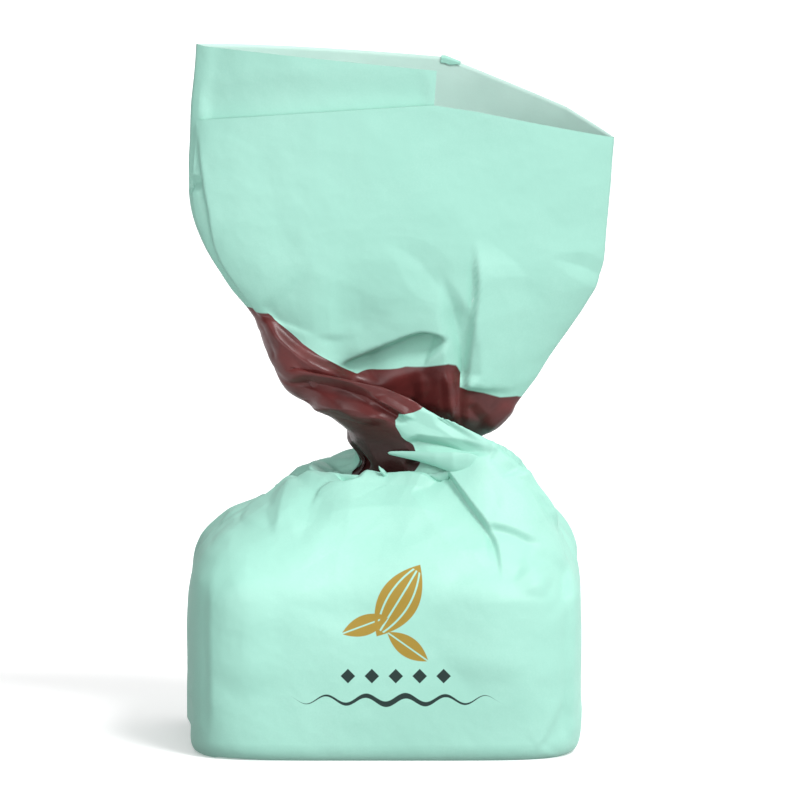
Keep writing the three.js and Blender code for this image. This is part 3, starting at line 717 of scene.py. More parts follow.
class Nodes:
    """Builds a tree of shader nodes from short calls."""

    def __init__(self, tree: bpy.types.NodeTree) -> None:
        """Empties a tree and keeps it.

        Args:
            tree: the tree of a material or a world.
        """
        self.tree = tree
        self.tree.nodes.clear()

    def new(self, kind: str, **settings: object) -> bpy.types.Node:
        """Adds a node.

        Args:
            kind: the node's type.
            **settings: its properties.

        Returns:
            The node.
        """
        node = self.tree.nodes.new(kind)
        for name, value in settings.items():
            setattr(node, name, value)
        return node

    def link(self, source: Value, target: bpy.types.NodeSocket) -> None:
        """Joins a socket, or writes a plain value, into a target socket.

        Args:
            source: the socket or value.
            target: the socket that takes it.
        """
        if isinstance(source, bpy.types.NodeSocket):
            self.tree.links.new(source, target)
        else:
            target.default_value = source

    def math(self, operation: str, a: Value, b: Value = 0.0) -> bpy.types.NodeSocket:
        """Adds one step of arithmetic.

        Args:
            operation: the node's operation.
            a: the first number.
            b: the second number.

        Returns:
            The result.
        """
        node = self.new("ShaderNodeMath", operation=operation)
        self.link(a, node.inputs[0])
        self.link(b, node.inputs[1])
        return node.outputs[0]

    def add(self, a: Value, b: Value) -> bpy.types.NodeSocket:
        """Returns a plus b."""
        return self.math("ADD", a, b)

    def less(self, a: Value, b: Value) -> bpy.types.NodeSocket:
        """Returns a minus b."""
        return self.math("SUBTRACT", a, b)

    def times(self, a: Value, b: Value) -> bpy.types.NodeSocket:
        """Returns a times b."""
        return self.math("MULTIPLY", a, b)

    def size(self, a: Value) -> bpy.types.NodeSocket:
        """Returns a without its sign."""
        return self.math("ABSOLUTE", a)

    def most(self, a: Value, b: Value) -> bpy.types.NodeSocket:
        """Returns the larger of a and b."""
        return self.math("MAXIMUM", a, b)

    def mix(self, share: Value, a: Value, b: Value) -> bpy.types.NodeSocket:
        """Changes one colour to another by a share.

        Args:
            share: 0 for the first colour, 1 for the second.
            a: the first colour.
            b: the second colour.

        Returns:
            The mixed colour.
        """
        node = self.new("ShaderNodeMix", data_type="RGBA")
        self.link(share, node.inputs[0])
        self.link(a, node.inputs[6])
        self.link(b, node.inputs[7])
        return node.outputs[2]

    def place(self) -> bpy.types.NodeSocket:
        """Returns the Object coordinates."""
        return self.new("ShaderNodeTexCoord").outputs["Object"]

    def split(self, vector: Value) -> bpy.types.NodeOutputs:
        """Takes a vector apart.

        Args:
            vector: the vector.

        Returns:
            The three outputs that hold its x, y and z.
        """
        node = self.new("ShaderNodeSeparateXYZ")
        self.link(vector, node.inputs[0])
        return node.outputs

    def noise(self, vector: Value, size_mm: float, detail: float = 2.0) -> bpy.types.NodeSocket:
        """Adds noise.

        Args:
            vector: the coordinates.
            size_mm: about how large its features are, in millimetres.
            detail: how many finer layers it has.

        Returns:
            The noise, from 0 to 1.
        """
        node = self.new("ShaderNodeTexNoise")
        self.link(vector, node.inputs["Vector"])
        node.inputs["Scale"].default_value = 1.0 / (size_mm * METRES)
        node.inputs["Detail"].default_value = detail
        return node.outputs["Fac"]

    def ramp(self, value: Value, low: float, high: float, bottom: float = 0.0,
             top: float = 1.0) -> bpy.types.NodeSocket:
        """Follows a straight line between two values and is level beyond them.

        Args:
            value: the number that is read.
            low: where the line starts.
            high: where it ends.
            bottom: the result at its start.
            top: the result at its end.

        Returns:
            The result.
        """
        node = self.new("ShaderNodeMapRange")
        self.link(value, node.inputs["Value"])
        for name, number in zip(("From Min", "From Max", "To Min", "To Max"), (low, high, bottom, top)):
            node.inputs[name].default_value = number
        return node.outputs["Result"]

    def bump(self, height: Value, strength: float, distance_mm: float,
             normal: Union[bpy.types.NodeSocket, None] = None) -> bpy.types.NodeSocket:
        """Bends the normal by a height.

        Args:
            height: the height, from 0 to 1.
            strength: the share of the bump that is used.
            distance_mm: how high 1 is, in millimetres.
            normal: a normal that is bent already.

        Returns:
            The bent normal.
        """
        node = self.new("ShaderNodeBump")
        node.inputs["Strength"].default_value = strength
        node.inputs["Distance"].default_value = distance_mm * METRES
        self.link(height, node.inputs["Height"])
        if normal is not None:
            self.link(normal, node.inputs["Normal"])
        return node.outputs["Normal"]

    def surface(self, inputs: dict[str, Value]) -> None:
        """Adds the surface shader and the material's output.

        Args:
            inputs: what the shader's sockets take, by their names.
        """
        shader = self.new("ShaderNodeBsdfPrincipled")
        for name, value in inputs.items():
            self.link(value, shader.inputs[name])
        output = self.new("ShaderNodeOutputMaterial")
        self.link(shader.outputs[0], output.inputs["Surface"])


def new_material(name: str) -> tuple[bpy.types.Material, Nodes]:
    """Starts a material.

    Args:
        name: its name.

    Returns:
        The material and its empty nodes.
    """
    material = bpy.data.materials.new(name)
    material.use_nodes = True
    return material, Nodes(material.node_tree)


@dataclass(frozen=True)
class PaperFinish:
    """Coated, printed wrapping paper. Sizes of noise are in millimetres."""

    name: str = "printed_paper"
    mint: Colour = (0.345, 0.66, 0.557, 1.0)
    mint_deep: Colour = (0.315, 0.636, 0.53, 1.0)
    brown: Colour = (0.128, 0.022, 0.021, 1.0)
    # Darker brown, used both for random worn patches and for the painted shade at the neck's foot.
    brown_worn_and_shaded: Colour = (0.035, 0.007, 0.007, 1.0)
    speckle_size: float = 0.14
    speckle_share: float = 0.9
    cloud_size: float = 7.0
    cloud_share: float = 0.8
    worn_size: float = 2.5
    worn_share: float = 0.6
    # Painted shade: heights in millimetres between which the band's brown darkens towards the neck's foot.
    painted_neck_shade: tuple[float, float] = (26.2, 23.2)
    print_edge: float = 0.003
    roughness: tuple[float, float] = (0.55, 0.65)
    roughness_size: float = 1.2
    printed_smoother: float = 0.25
    sheen: float = 0.9
    printed_sheen: float = 0.35
    fibre_size: float = 0.16
    fibre_bump: tuple[float, float] = (0.12, 0.03)
    crumple_size: float = 2.6
    crumple_bump: tuple[float, float] = (0.35, 0.35)

    def build(self) -> bpy.types.Material:
        """Builds the paper with the band and the motif printed on it.

        Returns:
            The material.
        """
        material, n = new_material(self.name)
        place = n.place()
        speckle = n.times(n.ramp(n.noise(place, self.speckle_size), 0.3, 0.7), self.speckle_share)
        cloud = n.times(n.ramp(n.noise(place, self.cloud_size, 3.0), 0.3, 0.7), self.cloud_share)
        paper = n.mix(n.add(cloud, speckle), self.mint, self.mint_deep)
        band = n.new("ShaderNodeAttribute", attribute_name="band").outputs["Fac"]
        edge = self.print_edge
        printed = n.times(n.ramp(band, -edge, edge), n.ramp(band, 1.0 + edge, 1.0 - edge))
        worn = n.times(n.ramp(n.noise(place, self.worn_size, 3.0), 0.35, 0.7), self.worn_share)
        # Painted shade: the band's brown darkens towards the neck's foot, where it really lies in shadow.
        # It is mixed with random worn patches.
        high, low = self.painted_neck_shade
        painted_neck_shade = n.ramp(n.split(place)[2], high * METRES, low * METRES)
        shade = n.mix(n.most(worn, painted_neck_shade), self.brown, self.brown_worn_and_shaded)
        colour, marks = Motif().print_on(n, place, n.mix(printed, paper, shade))
        smoothest, roughest = self.roughness
        uneven = n.times(n.noise(place, self.roughness_size), roughest - smoothest)
        rough = n.less(n.add(smoothest, uneven), n.times(printed, self.printed_smoother))
        sheen = n.less(self.sheen, n.times(n.most(printed, marks), self.sheen - self.printed_sheen))
        crumple = n.bump(n.noise(place, self.crumple_size), *self.crumple_bump)
        fibres = n.bump(n.noise(place, self.fibre_size, 3.0), *self.fibre_bump, crumple)
        n.surface({"Base Color": colour, "Roughness": rough, "Normal": fibres, "Specular IOR Level": sheen})
        return material


@dataclass(frozen=True)
class Motif:
    """The generic print on the front: a cocoa pod with two leaves over rows of small marks.

    All sizes are in millimetres. `leaves` has each leaf's (x, z, turn in degrees) from the motif's middle.
    """

    middle: tuple[float, float] = (0.9, 11.6)
    front_of: float = -9.0
    ochre: Colour = (0.34, 0.225, 0.028, 1.0)
    ink: Colour = (0.006, 0.022, 0.019, 1.0)
    edge: float = 0.02
    pod: tuple[float, float, float] = (0.2, 0.5, 58.0)
    pod_size: tuple[float, float] = (3.1, 1.5)
    ribs: tuple[float, ...] = (-0.55, 0.0, 0.55)
    rib_half: float = 0.07
    rib_reach: float = 2.6
    leaves: tuple[tuple[float, float, float], ...] = ((-2.3, -1.3, 200.0), (0.9, -2.9, -35.0))
    leaf_size: tuple[float, float] = (1.9, 0.75)
    vein_half: float = 0.055
    row_drop: float = 5.1
    row_half: float = 4.6
    row_step: float = 0.9
    lozenge_half: float = 0.55
    wave_drop: float = 6.9
    wave_rate: float = 2.1
    wave_height: float = 0.32
    wave_half: float = 7.6
    wave_thickness: float = 0.24

    def print_on(self, n: Nodes, place: bpy.types.NodeSocket,
                 colour: bpy.types.NodeSocket) -> tuple[bpy.types.NodeSocket, bpy.types.NodeSocket]:
        """Prints the motif over a colour, on the front alone.

        Args:
            n: the material's nodes.
            place: Object coordinates.
            colour: the colour under the print.

        Returns:
            The colour with the print, and the share of print at each place.
        """
        axes = n.split(place)
        x = n.less(n.times(axes[0], 1 / METRES), self.middle[0])
        z = n.less(n.times(axes[2], 1 / METRES), self.middle[1])
        is_front = n.math("LESS_THAN", axes[1], self.front_of * METRES)
        pod = n.times(self._pod(n, x, z), is_front)
        marks = n.times(self._marks(n, x, z), is_front)
        colour = n.mix(marks, n.mix(pod, colour, self.ochre), self.ink)
        return colour, n.most(pod, marks)

    @staticmethod
    def _turned(n: Nodes, x: Value, z: Value, axis: tuple[float, float, float]) -> tuple[Value, Value]:
        """Turns coordinates.

        Args:
            n: the material's nodes.
            x: across the front.
            z: up the front.
            axis: a point (x, z) of an axis and its turn in degrees.

        Returns:
            How far along the axis and how far across it.
        """
        turn = math.radians(axis[2])
        dx, dz = n.less(x, axis[0]), n.less(z, axis[1])
        along = n.add(n.times(dx, math.cos(turn)), n.times(dz, math.sin(turn)))
        across = n.less(n.times(dz, math.cos(turn)), n.times(dx, math.sin(turn)))
        return along, across

    @staticmethod
    def _swell(n: Nodes, along: Value, length: float) -> bpy.types.NodeSocket:
        """Returns 1 in the middle of a length, falling to 0 at its ends in a curve."""
        return n.less(1.0, n.math("POWER", n.size(n.math("DIVIDE", along, length)), 2.0))

    def _almond(self, n: Nodes, along: Value, across: Value,
                size: tuple[float, float]) -> bpy.types.NodeSocket:
        """Returns 1 inside a pointed oval of a half length and a half width."""
        return self._ink(n, n.less(n.times(self._swell(n, along, size[0]), size[1]), n.size(across)))

    def _ink(self, n: Nodes, inside: Value) -> bpy.types.NodeSocket:
        """Returns 1 where the distance inside a shape is over 0, with a narrow soft edge."""
        return n.ramp(inside, -self.edge, self.edge)

    def _pod(self, n: Nodes, x: Value, z: Value) -> bpy.types.NodeSocket:
        """Draws the ribbed pod and its two leaves.

        Args:
            n: the material's nodes.
            x: across the front.
            z: up the front.

        Returns:
            The share of ochre at each place.
        """
        along, across = self._turned(n, x, z, self.pod)
        length, width = self.pod_size
        total = self._almond(n, along, across, self.pod_size)
        for share in self.ribs:
            line = n.size(n.less(across, n.times(self._swell(n, along, length), width * share)))
            within = self._ink(n, n.less(self.rib_reach, n.size(along)))
            total = n.less(total, n.times(self._ink(n, n.less(self.rib_half, line)), within))
        total = n.most(total, 0.0)
        for axis in self.leaves:
            along, across = self._turned(n, x, z, axis)
            vein = self._ink(n, n.less(self.vein_half, n.size(across)))
            total = n.most(total, n.less(self._almond(n, along, across, self.leaf_size), vein))
        return total

    def _marks(self, n: Nodes, x: Value, z: Value) -> bpy.types.NodeSocket:
        """Draws a row of lozenges and a tapered wave under the pod.

        Args:
            n: the material's nodes.
            x: across the front.
            z: up the front.

        Returns:
            The share of dark ink at each place.
        """
        away = n.add(n.math("PINGPONG", x, self.row_step), n.size(n.add(z, self.row_drop)))
        within = self._ink(n, n.less(self.row_half, n.size(x)))
        row = n.times(self._ink(n, n.less(self.lozenge_half, away)), within)
        wave = n.times(n.math("SINE", n.times(x, self.wave_rate)), self.wave_height)
        away = n.size(n.less(n.add(z, self.wave_drop), wave))
        taper = n.less(1.0, n.math("DIVIDE", n.size(x), self.wave_half))
        return n.most(row, self._ink(n, n.less(n.times(taper, self.wave_thickness), away)))


@dataclass(frozen=True)
class LiningFinish:
    """The unprinted inner side of the paper. Sizes of noise are in millimetres."""

    name: str = "paper_lining"
    colour: Colour = (0.56, 0.76, 0.695, 1.0)
    shade: Colour = (0.52, 0.72, 0.655, 1.0)
    cloud_size: float = 4.0
    roughness: tuple[float, float] = (0.6, 0.72)
    roughness_size: float = 0.8
    fibre_size: float = 0.18
    fibre_bump: tuple[float, float] = (0.15, 0.03)

    def build(self) -> bpy.types.Material:
        """Builds the unprinted inner side of the paper.

        Returns:
            The material.
        """
        material, n = new_material(self.name)
        place = n.place()
        cloud = n.ramp(n.noise(place, self.cloud_size, 3.0), 0.3, 0.7)
        smoothest, roughest = self.roughness
        uneven = n.times(n.noise(place, self.roughness_size), roughest - smoothest)
        colour = n.mix(cloud, self.colour, self.shade)
        fibres = n.bump(n.noise(place, self.fibre_size, 3.0), *self.fibre_bump)
        n.surface({"Base Color": colour, "Roughness": n.add(smoothest, uneven), "Normal": fibres})
        return material


@dataclass(frozen=True)
class FloorFinish:
    """A plain pale floor, which glows a little so that it stays white."""

    name: str = "pale_floor"
    dark: Colour = (0.93, 0.93, 0.93, 1.0)
    light: Colour = (0.95, 0.95, 0.95, 1.0)
    cloud_size: float = 60.0
    roughness: float = 0.9
    white: Colour = (1.0, 1.0, 1.0, 1.0)
    glow: float = 0.2

    def build(self) -> bpy.types.Material:
        """Builds the floor's finish.

        Returns:
            The material.
        """
        material, n = new_material(self.name)
        pale = n.mix(n.noise(n.place(), self.cloud_size), self.dark, self.light)
        n.surface({"Base Color": pale, "Roughness": self.roughness, "Emission Color": self.white,
                   "Emission Strength": self.glow})
        return material


class Sheet:
    """A grid of faces that becomes one piece."""

    def __init__(self, name: str, points: np.ndarray) -> None:
        """Lays the grid over points.

        Args:
            name: name of the piece.
            points: points in millimetres, by row and column.
        """
        rows, columns = points.shape[0] - 1, points.shape[1] - 1
        self.obj = bpy.data.objects.new(name, bpy.data.meshes.new(name))
        bpy.context.scene.collection.objects.link(self.obj)
        self.bm = bmesh.new()
        bmesh.ops.create_grid(self.bm, x_segments=columns, y_segments=rows, size=1.0)
        corners = np.array([v.co[:2] for v in self.bm.verts])
        self.at = tuple(np.rint((corners + 1.0) / 2.0 * [columns, rows]).astype(int).T[::-1])
        for vert, point in zip(self.bm.verts, points[self.at] * METRES):
            vert.co = point

    def dress(self, values: np.ndarray) -> None:
        """Writes the attribute that says where the band is printed.

        Args:
            values: one number for each point of the grid.
        """
        layer = self.bm.verts.layers.float.new("band")
        for vert, value in zip(self.bm.verts, values[self.at]):
            vert[layer] = value

    def cut(self, hidden: np.ndarray) -> None:
        """Deletes points.

        Args:
            hidden: whether each point of the grid goes.
        """
        doomed = [vert for vert, gone in zip(self.bm.verts, hidden[self.at]) if gone]
        bmesh.ops.delete(self.bm, geom=doomed, context="VERTS")

    def weld(self, distance: float) -> None:
        """Joins points that lie together.

        Args:
            distance: how near they lie, in metres.
        """
        bmesh.ops.remove_doubles(self.bm, verts=list(self.bm.verts), dist=distance)

    def close(self) -> None:
        """Fills the open ends."""
        bmesh.ops.holes_fill(self.bm, edges=[e for e in self.bm.edges if e.is_boundary], sides=0)

    def face_outwards(self) -> None:
        """Turns the faces the same way, outwards."""
        bmesh.ops.recalc_face_normals(self.bm, faces=list(self.bm.faces))

    def reverse(self) -> None:
        """Turns every face over."""
        bmesh.ops.reverse_faces(self.bm, faces=list(self.bm.faces))

    def finish(self, material: bpy.types.Material) -> bpy.types.Object:
        """Writes the mesh with smooth faces.

        Args:
            material: the piece's material.

        Returns:
            The piece.
        """
        for face in self.bm.faces:
            face.smooth = True
        self.bm.to_mesh(self.obj.data)
        self.bm.free()
        self.obj.data.materials.append(material)
        LOG.info("%s: %d faces", self.obj.name, len(self.obj.data.polygons))
        return self.obj


@dataclass
class Band:
    """The dark printed band of the neck, as (place, station) along its two edges."""

    lower: Line = (
        (0.0, 9.5), (0.012, 9.5), (0.03, 9.25), (0.045, 9.15), (0.08, 9.1), (0.25, 8.9), (0.5, 8.8),
        (0.62, 8.6), (0.68, 8.5), (0.72, 8.2), (0.76, 7.9), (0.81, 7.8), (0.86, 8.1), (0.90, 8.3),
        (0.93, 8.6), (0.945, 8.85), (0.955, 9.15), (0.975, 9.4), (0.99, 9.5), (1.0, 9.5))
    upper: Line = (
        (0.0, 12.85), (0.045, 12.87), (0.062, 12.9), (0.068, 12.72), (0.106, 12.32), (0.155, 12.15),
        (0.20, 12.0), (0.215, 12.15), (0.253, 12.45), (0.287, 12.7), (0.32, 12.82), (0.352, 12.95),
        (0.366, 12.95), (0.379, 12.85), (0.382, 12.66), (0.424, 12.7), (0.457, 12.7), (0.485, 12.78),
        (0.56, 12.8), (0.75, 12.75), (1.0, 12.85))

    def lower_station(self, places: np.ndarray) -> np.ndarray:
        """Reads the band's lower edge.

        Args:
            places: places round the ring.

        Returns:
            The station of the edge at each of them.
        """
        knots = np.array(self.lower)
        return np.interp(places % 1.0, knots[:, 0], knots[:, 1])

    def coordinate(self, places: np.ndarray, stations: np.ndarray) -> np.ndarray:
        """Measures places against the band.

        Args:
            places: places round the ring, from 0 to 1.
            stations: stations of the same shape.

        Returns:
            0 at the lower edge and 1 at the upper one.
        """
        knots = np.array(self.upper)
        bottom, top = self.lower_station(places), np.interp(places, knots[:, 0], knots[:, 1])
        return (stations - bottom) / (top - bottom)


@dataclass
class Wrapper:
    """The paper: the printed outside of the body and neck, and of the fan, where it overlaps itself.

    `columns` and `body_rows` have (from, to, count). `rim` has the height of the paper's edge over the
    mouth at places round it, in millimetres.
    """

    form: PaperForm
    relief: Relief
    band: Band
    start: float = 0.0125
    overlap_end: float = 1.283
    columns: tuple[tuple[float, float, int], ...] = (
        (0.0125, 0.06, 18), (0.06, 0.5, 140), (0.5, 0.7, 44), (0.7, 1.0, 232), (1.0, OVERLAP, 6),
        (OVERLAP, 1.283, 60))
    body_rows: tuple[tuple[float, float, int], ...] = (
        (-1.0, BASE_EDGE, 10), (BASE_EDGE, 1.0, 8), (1.0, 3.0, 40), (3.0, 6.8, 96))
    shoulder_rows: int = 66
    neck_rows: int = 76
    fan_rows: int = 122
    rim: Line = (
        (0.0125, -5.4), (0.283, -0.2), (0.33, 0.0), (0.5, 0.1), (0.564, 1.4), (0.707, 2.85),
        (1.0, -0.1), (OVERLAP, -0.1), (1.283, 2.4))
    opens_at: float = 12.2
    opens_over: float = 1.2
    flap_lift: float = 0.25
    flap_ends: float = 0.42
    flap_fade: float = 0.2
    tuck: float = 0.14
    tuck_fade: float = 0.02
    hidden_below: float = 15.4
    weld: float = 2e-7

    @staticmethod
    def _spread(spans: tuple[tuple[float, float, int], ...]) -> np.ndarray:
        """Returns evenly spaced values along each span, without the last span's end."""
        parts = [np.linspace(low, high, count, endpoint=False) for low, high, count in spans]
        return np.concatenate(parts)

    def places(self) -> np.ndarray:
        """Returns the places of the columns, closer together where the paper faces the front."""
        return np.append(self._spread(self.columns), self.overlap_end)

    def rim_station(self, places: np.ndarray) -> np.ndarray:
        """Reads the paper's edge at the mouth.

        Args:
            places: places round the ring.

        Returns:
            The station of the edge at each of them.
        """
        knots = np.array(self.rim)
        return MOUTH + np.interp(places, knots[:, 0], knots[:, 1]) / MM_PER_STATION

    def surface(self, places: np.ndarray, stations: np.ndarray,
                inwards: Union[np.ndarray, float] = 0.0) -> np.ndarray:
        """Works out the finished place of the paper.

        Args:
            places: places round the ring; over OVERLAP they belong to the tucked inner flap.
            stations: stations of the same shape.
            inwards: how far inside the paper's outer face, in millimetres.

        Returns:
            Points in millimetres.
        """
        points = self.form.points(places, stations)
        normals = self.form.normals(places, stations)
        height = self.relief.height(points, normals, places, stations)
        opened = smooth((stations - self.opens_at) / self.opens_over)
        lift = self.flap_lift * smooth((self.flap_ends - places) / self.flap_fade) * opened
        tucked = self.tuck * smooth((places - OVERLAP) / self.tuck_fade) * opened
        return points + normals * (height + lift - tucked - inwards)[..., None]

    def _piece(self, name: str, places: np.ndarray, stations: np.ndarray,
               material: bpy.types.Material) -> bpy.types.Object:
        """Makes one sheet of the paper.

        Args:
            name: name of the piece.
            places: the places of its columns.
            stations: the stations of its points, by row and column.
            material: its material.

        Returns:
            The piece.
        """
        grid = np.repeat(places[None], len(stations), axis=0)
        sheet = Sheet(name, self.surface(grid, stations))
        sheet.dress(self.band.coordinate(grid % 1.0, stations))
        sheet.cut((grid > OVERLAP) & (stations < self.hidden_below))
        sheet.weld(self.weld)
        sheet.face_outwards()
        return sheet.finish(material)

    def build_body(self, material: bpy.types.Material) -> bpy.types.Object:
        """Makes the paper of the underside, body and neck, up to the lower edge of the band.

        Args:
            material: the printed paper.

        Returns:
            The piece.
        """
        places = self.places()
        places = places[places <= OVERLAP]
        low, last = self._spread(self.body_rows), self.body_rows[-1][1]
        share = np.linspace(0, 1, self.shoulder_rows)[:, None]
        high = last + (self.band.lower_station(places)[None] - last) * share
        stations = np.concatenate([np.repeat(low[:, None], len(places), axis=1), high])
        return self._piece("body_paper", places, stations, material)

    def build_fan(self, material: bpy.types.Material) -> bpy.types.Object:
        """Makes the paper of the band and fan, with the inner flap behind the outer one.

        Args:
            material: the printed paper.

        Returns:
            The piece.
        """
        places = self.places()
        low, rim = self.band.lower_station(places), self.rim_station(places)
        neck = low + (FAN_ROOT - low) * np.linspace(0, 1, self.neck_rows, endpoint=False)[:, None]
        fan = FAN_ROOT + (rim - FAN_ROOT) * np.linspace(0, 1, self.fan_rows)[:, None]
        return self._piece("fan_paper", places, np.concatenate([neck, fan]), material)


@dataclass
class Lining:
    """The inner side of the fan's paper, with the cut edge at the mouth."""

    wrapper: Wrapper
    thickness: float = 0.13
    floor_station: float = 13.3
    columns: int = 300
    rows: int = 84
    hidden_after: float = 1.02
    hidden_below: float = 14.8

    def build(self, material: bpy.types.Material) -> bpy.types.Object:
        """Makes the lining.

        Args:
            material: the bare paper.

        Returns:
            The piece.
        """
        places = np.linspace(self.wrapper.start, self.wrapper.overlap_end, self.columns)
        rim = self.wrapper.rim_station(places)
        share = np.linspace(0, 1, self.rows)[:, None]
        stations = self.floor_station + (rim[None] - self.floor_station) * share
        stations = np.concatenate([stations, rim[None]])
        inwards = np.full(stations.shape, self.thickness)
        inwards[-1] = 0.0
        grid = np.repeat(places[None], len(stations), axis=0)
        sheet = Sheet("fan_lining", self.wrapper.surface(grid, stations, inwards))
        sheet.cut((grid > self.hidden_after) & (stations < self.hidden_below))
        sheet.reverse()
        return sheet.finish(material)


@dataclass(frozen=True)
class Tongue:
    """A flattened, pointed fold of paper along a line of (x, y, z, half width, half thickness)."""

    name: str
    line: tuple[tuple[float, float, float, float, float], ...]
    lean: float = 0.0
    steps: int = 48
    round_steps: int = 20
    blunt: float = 0.06
    fullness: float = 0.8
    thin_edge: float = 0.7
    weld: float = 1e-6

    def build(self, material: bpy.types.Material) -> bpy.types.Object:
        """Makes the fold as one closed skin.

        Args:
            material: the printed paper.

        Returns:
            The piece.
        """
        knots = np.array(self.line)
        share = np.linspace(0, 1, self.steps + 1)
        at = np.linspace(0, 1, len(knots))
        x, y, z, half, thick = (np.interp(share, at, knots[:, k])[:, None] for k in range(5))
        end = np.sqrt(np.clip(1 - (1 - np.minimum(share / self.blunt, 1)) ** 2, 0, 1))[:, None]
        turn = np.linspace(0, 2 * np.pi, self.round_steps + 1)[None]
        rise = half * np.sign(np.cos(turn)) * np.abs(np.cos(turn)) ** self.fullness * end
        out = thick * np.sin(turn) * (1 - np.abs(np.cos(turn)) ** 3 * self.thin_edge) * end
        lean = math.radians(self.lean)
        points = np.stack([x + 0 * turn, y - out * math.cos(lean) - rise * math.sin(lean),
                           z + rise * math.cos(lean) - out * math.sin(lean)], axis=2)
        sheet = Sheet(self.name, points)
        sheet.dress(np.full(points.shape[:2], UNPRINTED))
        sheet.weld(self.weld)
        sheet.close()
        sheet.face_outwards()
        return sheet.finish(material)


NECK_TONGUE = Tongue("neck_tongue", (
    (0.25, -5.0, 22.42, 0.12, 0.10), (1.3, -5.6, 22.38, 0.26, 0.16), (2.6, -6.3, 22.3, 0.40, 0.22),
    (3.9, -7.0, 22.15, 0.58, 0.26), (5.2, -7.4, 21.95, 0.85, 0.26), (6.5, -7.3, 21.7, 1.0, 0.2),
    (7.9, -6.6, 21.3, 0.9, 0.12)), lean=14.0)
LIP_TONGUE = Tongue("lip_tongue", (
    (-0.40, -5.6, 21.40, 0.10, 0.10), (-0.25, -5.7, 21.2, 0.2, 0.15), (0.05, -5.6, 20.9, 0.28, 0.16),
    (0.45, -5.2, 20.4, 0.2, 0.1)), lean=5.0)


@dataclass
class TurnedCorner:
    """The small corner of the back panel that is turned over its edge at the mouth."""

    wrapper: Wrapper
    ends: tuple[float, float] = (0.690, 0.712)
    steps: int = 21
    outside: float = 0.35
    inside: float = 0.45
    clear: float = 0.12
    thickness: float = 0.13
    narrow: float = 0.35
    taper_rate: float = 1.6

    def build(self, material: bpy.types.Material) -> bpy.types.Object:
        """Makes the turned corner.

        Args:
            material: the printed paper.

        Returns:
            The piece.
        """
        places = np.linspace(self.ends[0], self.ends[1], self.steps)
        across = np.linspace(0, 1, self.steps)
        step = np.where(across < 0.5, (1 - across * 2) * self.outside, (across * 2 - 1) * self.inside)
        taper = smooth((places - self.ends[0]) / (self.ends[1] - self.ends[0]) * self.taper_rate)
        drop = step[:, None] * (self.narrow + (1 - self.narrow) * taper[None])
        raised = self.clear * np.clip(1 - np.abs(across - 0.5) * 8, 0, 1)[:, None]
        stations = self.wrapper.rim_station(places)[None] + (raised - drop) / MM_PER_STATION
        inwards = smooth((across - 0.4) / 0.2) * (self.thickness + 2 * self.clear) - self.clear
        grid = np.repeat(places[None], len(stations), axis=0)
        depth = np.repeat(inwards[:, None], len(places), axis=1)
        sheet = Sheet("turned_corner", self.wrapper.surface(grid, stations, depth))
        sheet.dress(np.full(grid.shape, UNPRINTED))
        sheet.face_outwards()
        return sheet.finish(material)


@dataclass(frozen=True)
class Fall:
    """How the surroundings' strength changes along one axis of the view directions."""

    axis: int
    low: float
    high: float
    at_low: float
    at_high: float


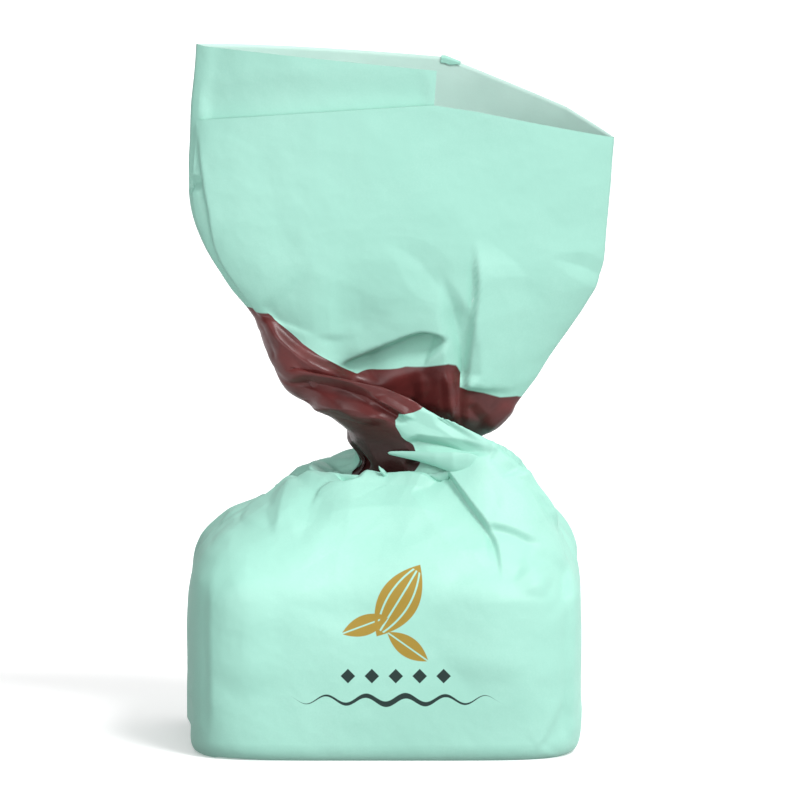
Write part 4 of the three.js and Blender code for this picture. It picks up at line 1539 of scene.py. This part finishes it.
@dataclass
class Studio:
    """The pale floor, soft light and camera. Places and sizes are in millimetres."""

    frame_width: float = 60.9
    distance: float = 1000.0
    target: tuple[float, float, float] = (1.218, 0.0, 25.92)
    sensor: float = 36.0
    clip: tuple[float, float] = (10.0, 20000.0)
    floor_half: float = 4000.0
    key_from: tuple[float, float, float] = (0.55, -0.8, 0.95)
    key_spread: float = 18.0
    key_power: float = 1.95
    panel_place: tuple[float, float, float] = (-40.0, -62.0, 46.0)
    panel_aim: tuple[float, float, float] = (0.0, 0.0, 42.0)
    panel_size: float = 40.0
    panel_power: float = 0.0185
    falls: tuple[Fall, Fall] = (Fall(0, -0.95, 0.4, 0.08, 0.94), Fall(2, -0.3, 0.3, 0.7, 1.2))

    def build_floor(self) -> None:
        """Adds the floor, left out of the light that falls on the paper."""
        obj = bpy.data.objects.new("floor", bpy.data.meshes.new("floor"))
        bpy.context.scene.collection.objects.link(obj)
        bm = bmesh.new()
        bmesh.ops.create_grid(bm, x_segments=1, y_segments=1, size=self.floor_half * METRES)
        bm.to_mesh(obj.data)
        bm.free()
        obj.data.materials.append(FloorFinish().build())
        obj.visible_diffuse = False

    def _key(self) -> None:
        """Adds the broad far light."""
        lamp = bpy.data.lights.new("key_light", "SUN")
        lamp.angle = math.radians(self.key_spread)
        lamp.energy = self.key_power
        obj = bpy.data.objects.new("key_light", lamp)
        obj.rotation_euler = Vector(self.key_from).to_track_quat("Z", "Y").to_euler()
        bpy.context.scene.collection.objects.link(obj)

    def _panel(self) -> None:
        """Adds the square light on the left that is aimed at the fan."""
        lamp = bpy.data.lights.new("fan_light", "AREA")
        lamp.size = self.panel_size * METRES
        lamp.energy = self.panel_power
        obj = bpy.data.objects.new("fan_light", lamp)
        obj.location = Vector(self.panel_place) * METRES
        away = Vector(self.panel_place) - Vector(self.panel_aim)
        obj.rotation_euler = away.to_track_quat("Z", "Y").to_euler()
        obj.visible_camera = False
        bpy.context.scene.collection.objects.link(obj)

    def _surroundings(self) -> None:
        """Adds the pale surroundings, which are dimmer on the left and below."""
        world = bpy.data.worlds.new("studio")
        bpy.context.scene.world = world
        world.use_nodes = True
        n = Nodes(world.node_tree)
        axes = n.split(n.new("ShaderNodeTexCoord").outputs["Generated"])
        strength = n.times(*(n.ramp(axes[f.axis], f.low, f.high, f.at_low, f.at_high) for f in self.falls))
        background = n.new("ShaderNodeBackground")
        n.link((1.0, 1.0, 1.0, 1.0), background.inputs["Color"])
        n.link(strength, background.inputs["Strength"])
        n.link(background.outputs[0], n.new("ShaderNodeOutputWorld").inputs["Surface"])

    def build_lights(self) -> None:
        """Adds the lights and the surroundings."""
        self._key()
        self._panel()
        self._surroundings()
        bpy.context.scene.view_settings.view_transform = "Standard"

    def build_camera(self) -> None:
        """Adds the camera at the photograph's angle."""
        data = bpy.data.cameras.new("camera")
        data.sensor_width = self.sensor
        data.lens = self.sensor * self.distance / self.frame_width
        data.clip_start, data.clip_end = (edge * METRES for edge in self.clip)
        camera = bpy.data.objects.new("camera", data)
        back = Vector((0, -math.cos(CAMERA_ELEVATION), math.sin(CAMERA_ELEVATION)))
        camera.location = (Vector(self.target) + back * self.distance) * METRES
        camera.rotation_euler = (-back).to_track_quat("-Z", "Y").to_euler()
        bpy.context.scene.collection.objects.link(camera)
        bpy.context.scene.camera = camera


def main() -> None:
    """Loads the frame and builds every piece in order."""
    logging.basicConfig(level=logging.INFO)
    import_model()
    wrapper = Wrapper(PaperForm(), Relief(CREASES, PLEATS), Band())
    paper = PaperFinish().build()
    for piece in (wrapper.build_body(paper), wrapper.build_fan(paper)):
        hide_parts("wrapped_truffle")
        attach(piece, "root")
    small = (NECK_TONGUE.build(paper), LIP_TONGUE.build(paper), TurnedCorner(wrapper).build(paper))
    for piece in small + (Lining(wrapper).build(LiningFinish().build()),):
        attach(piece, "root")
    studio = Studio()
    studio.build_floor()
    studio.build_lights()
    studio.build_camera()


if __name__ == "__main__":
    main()
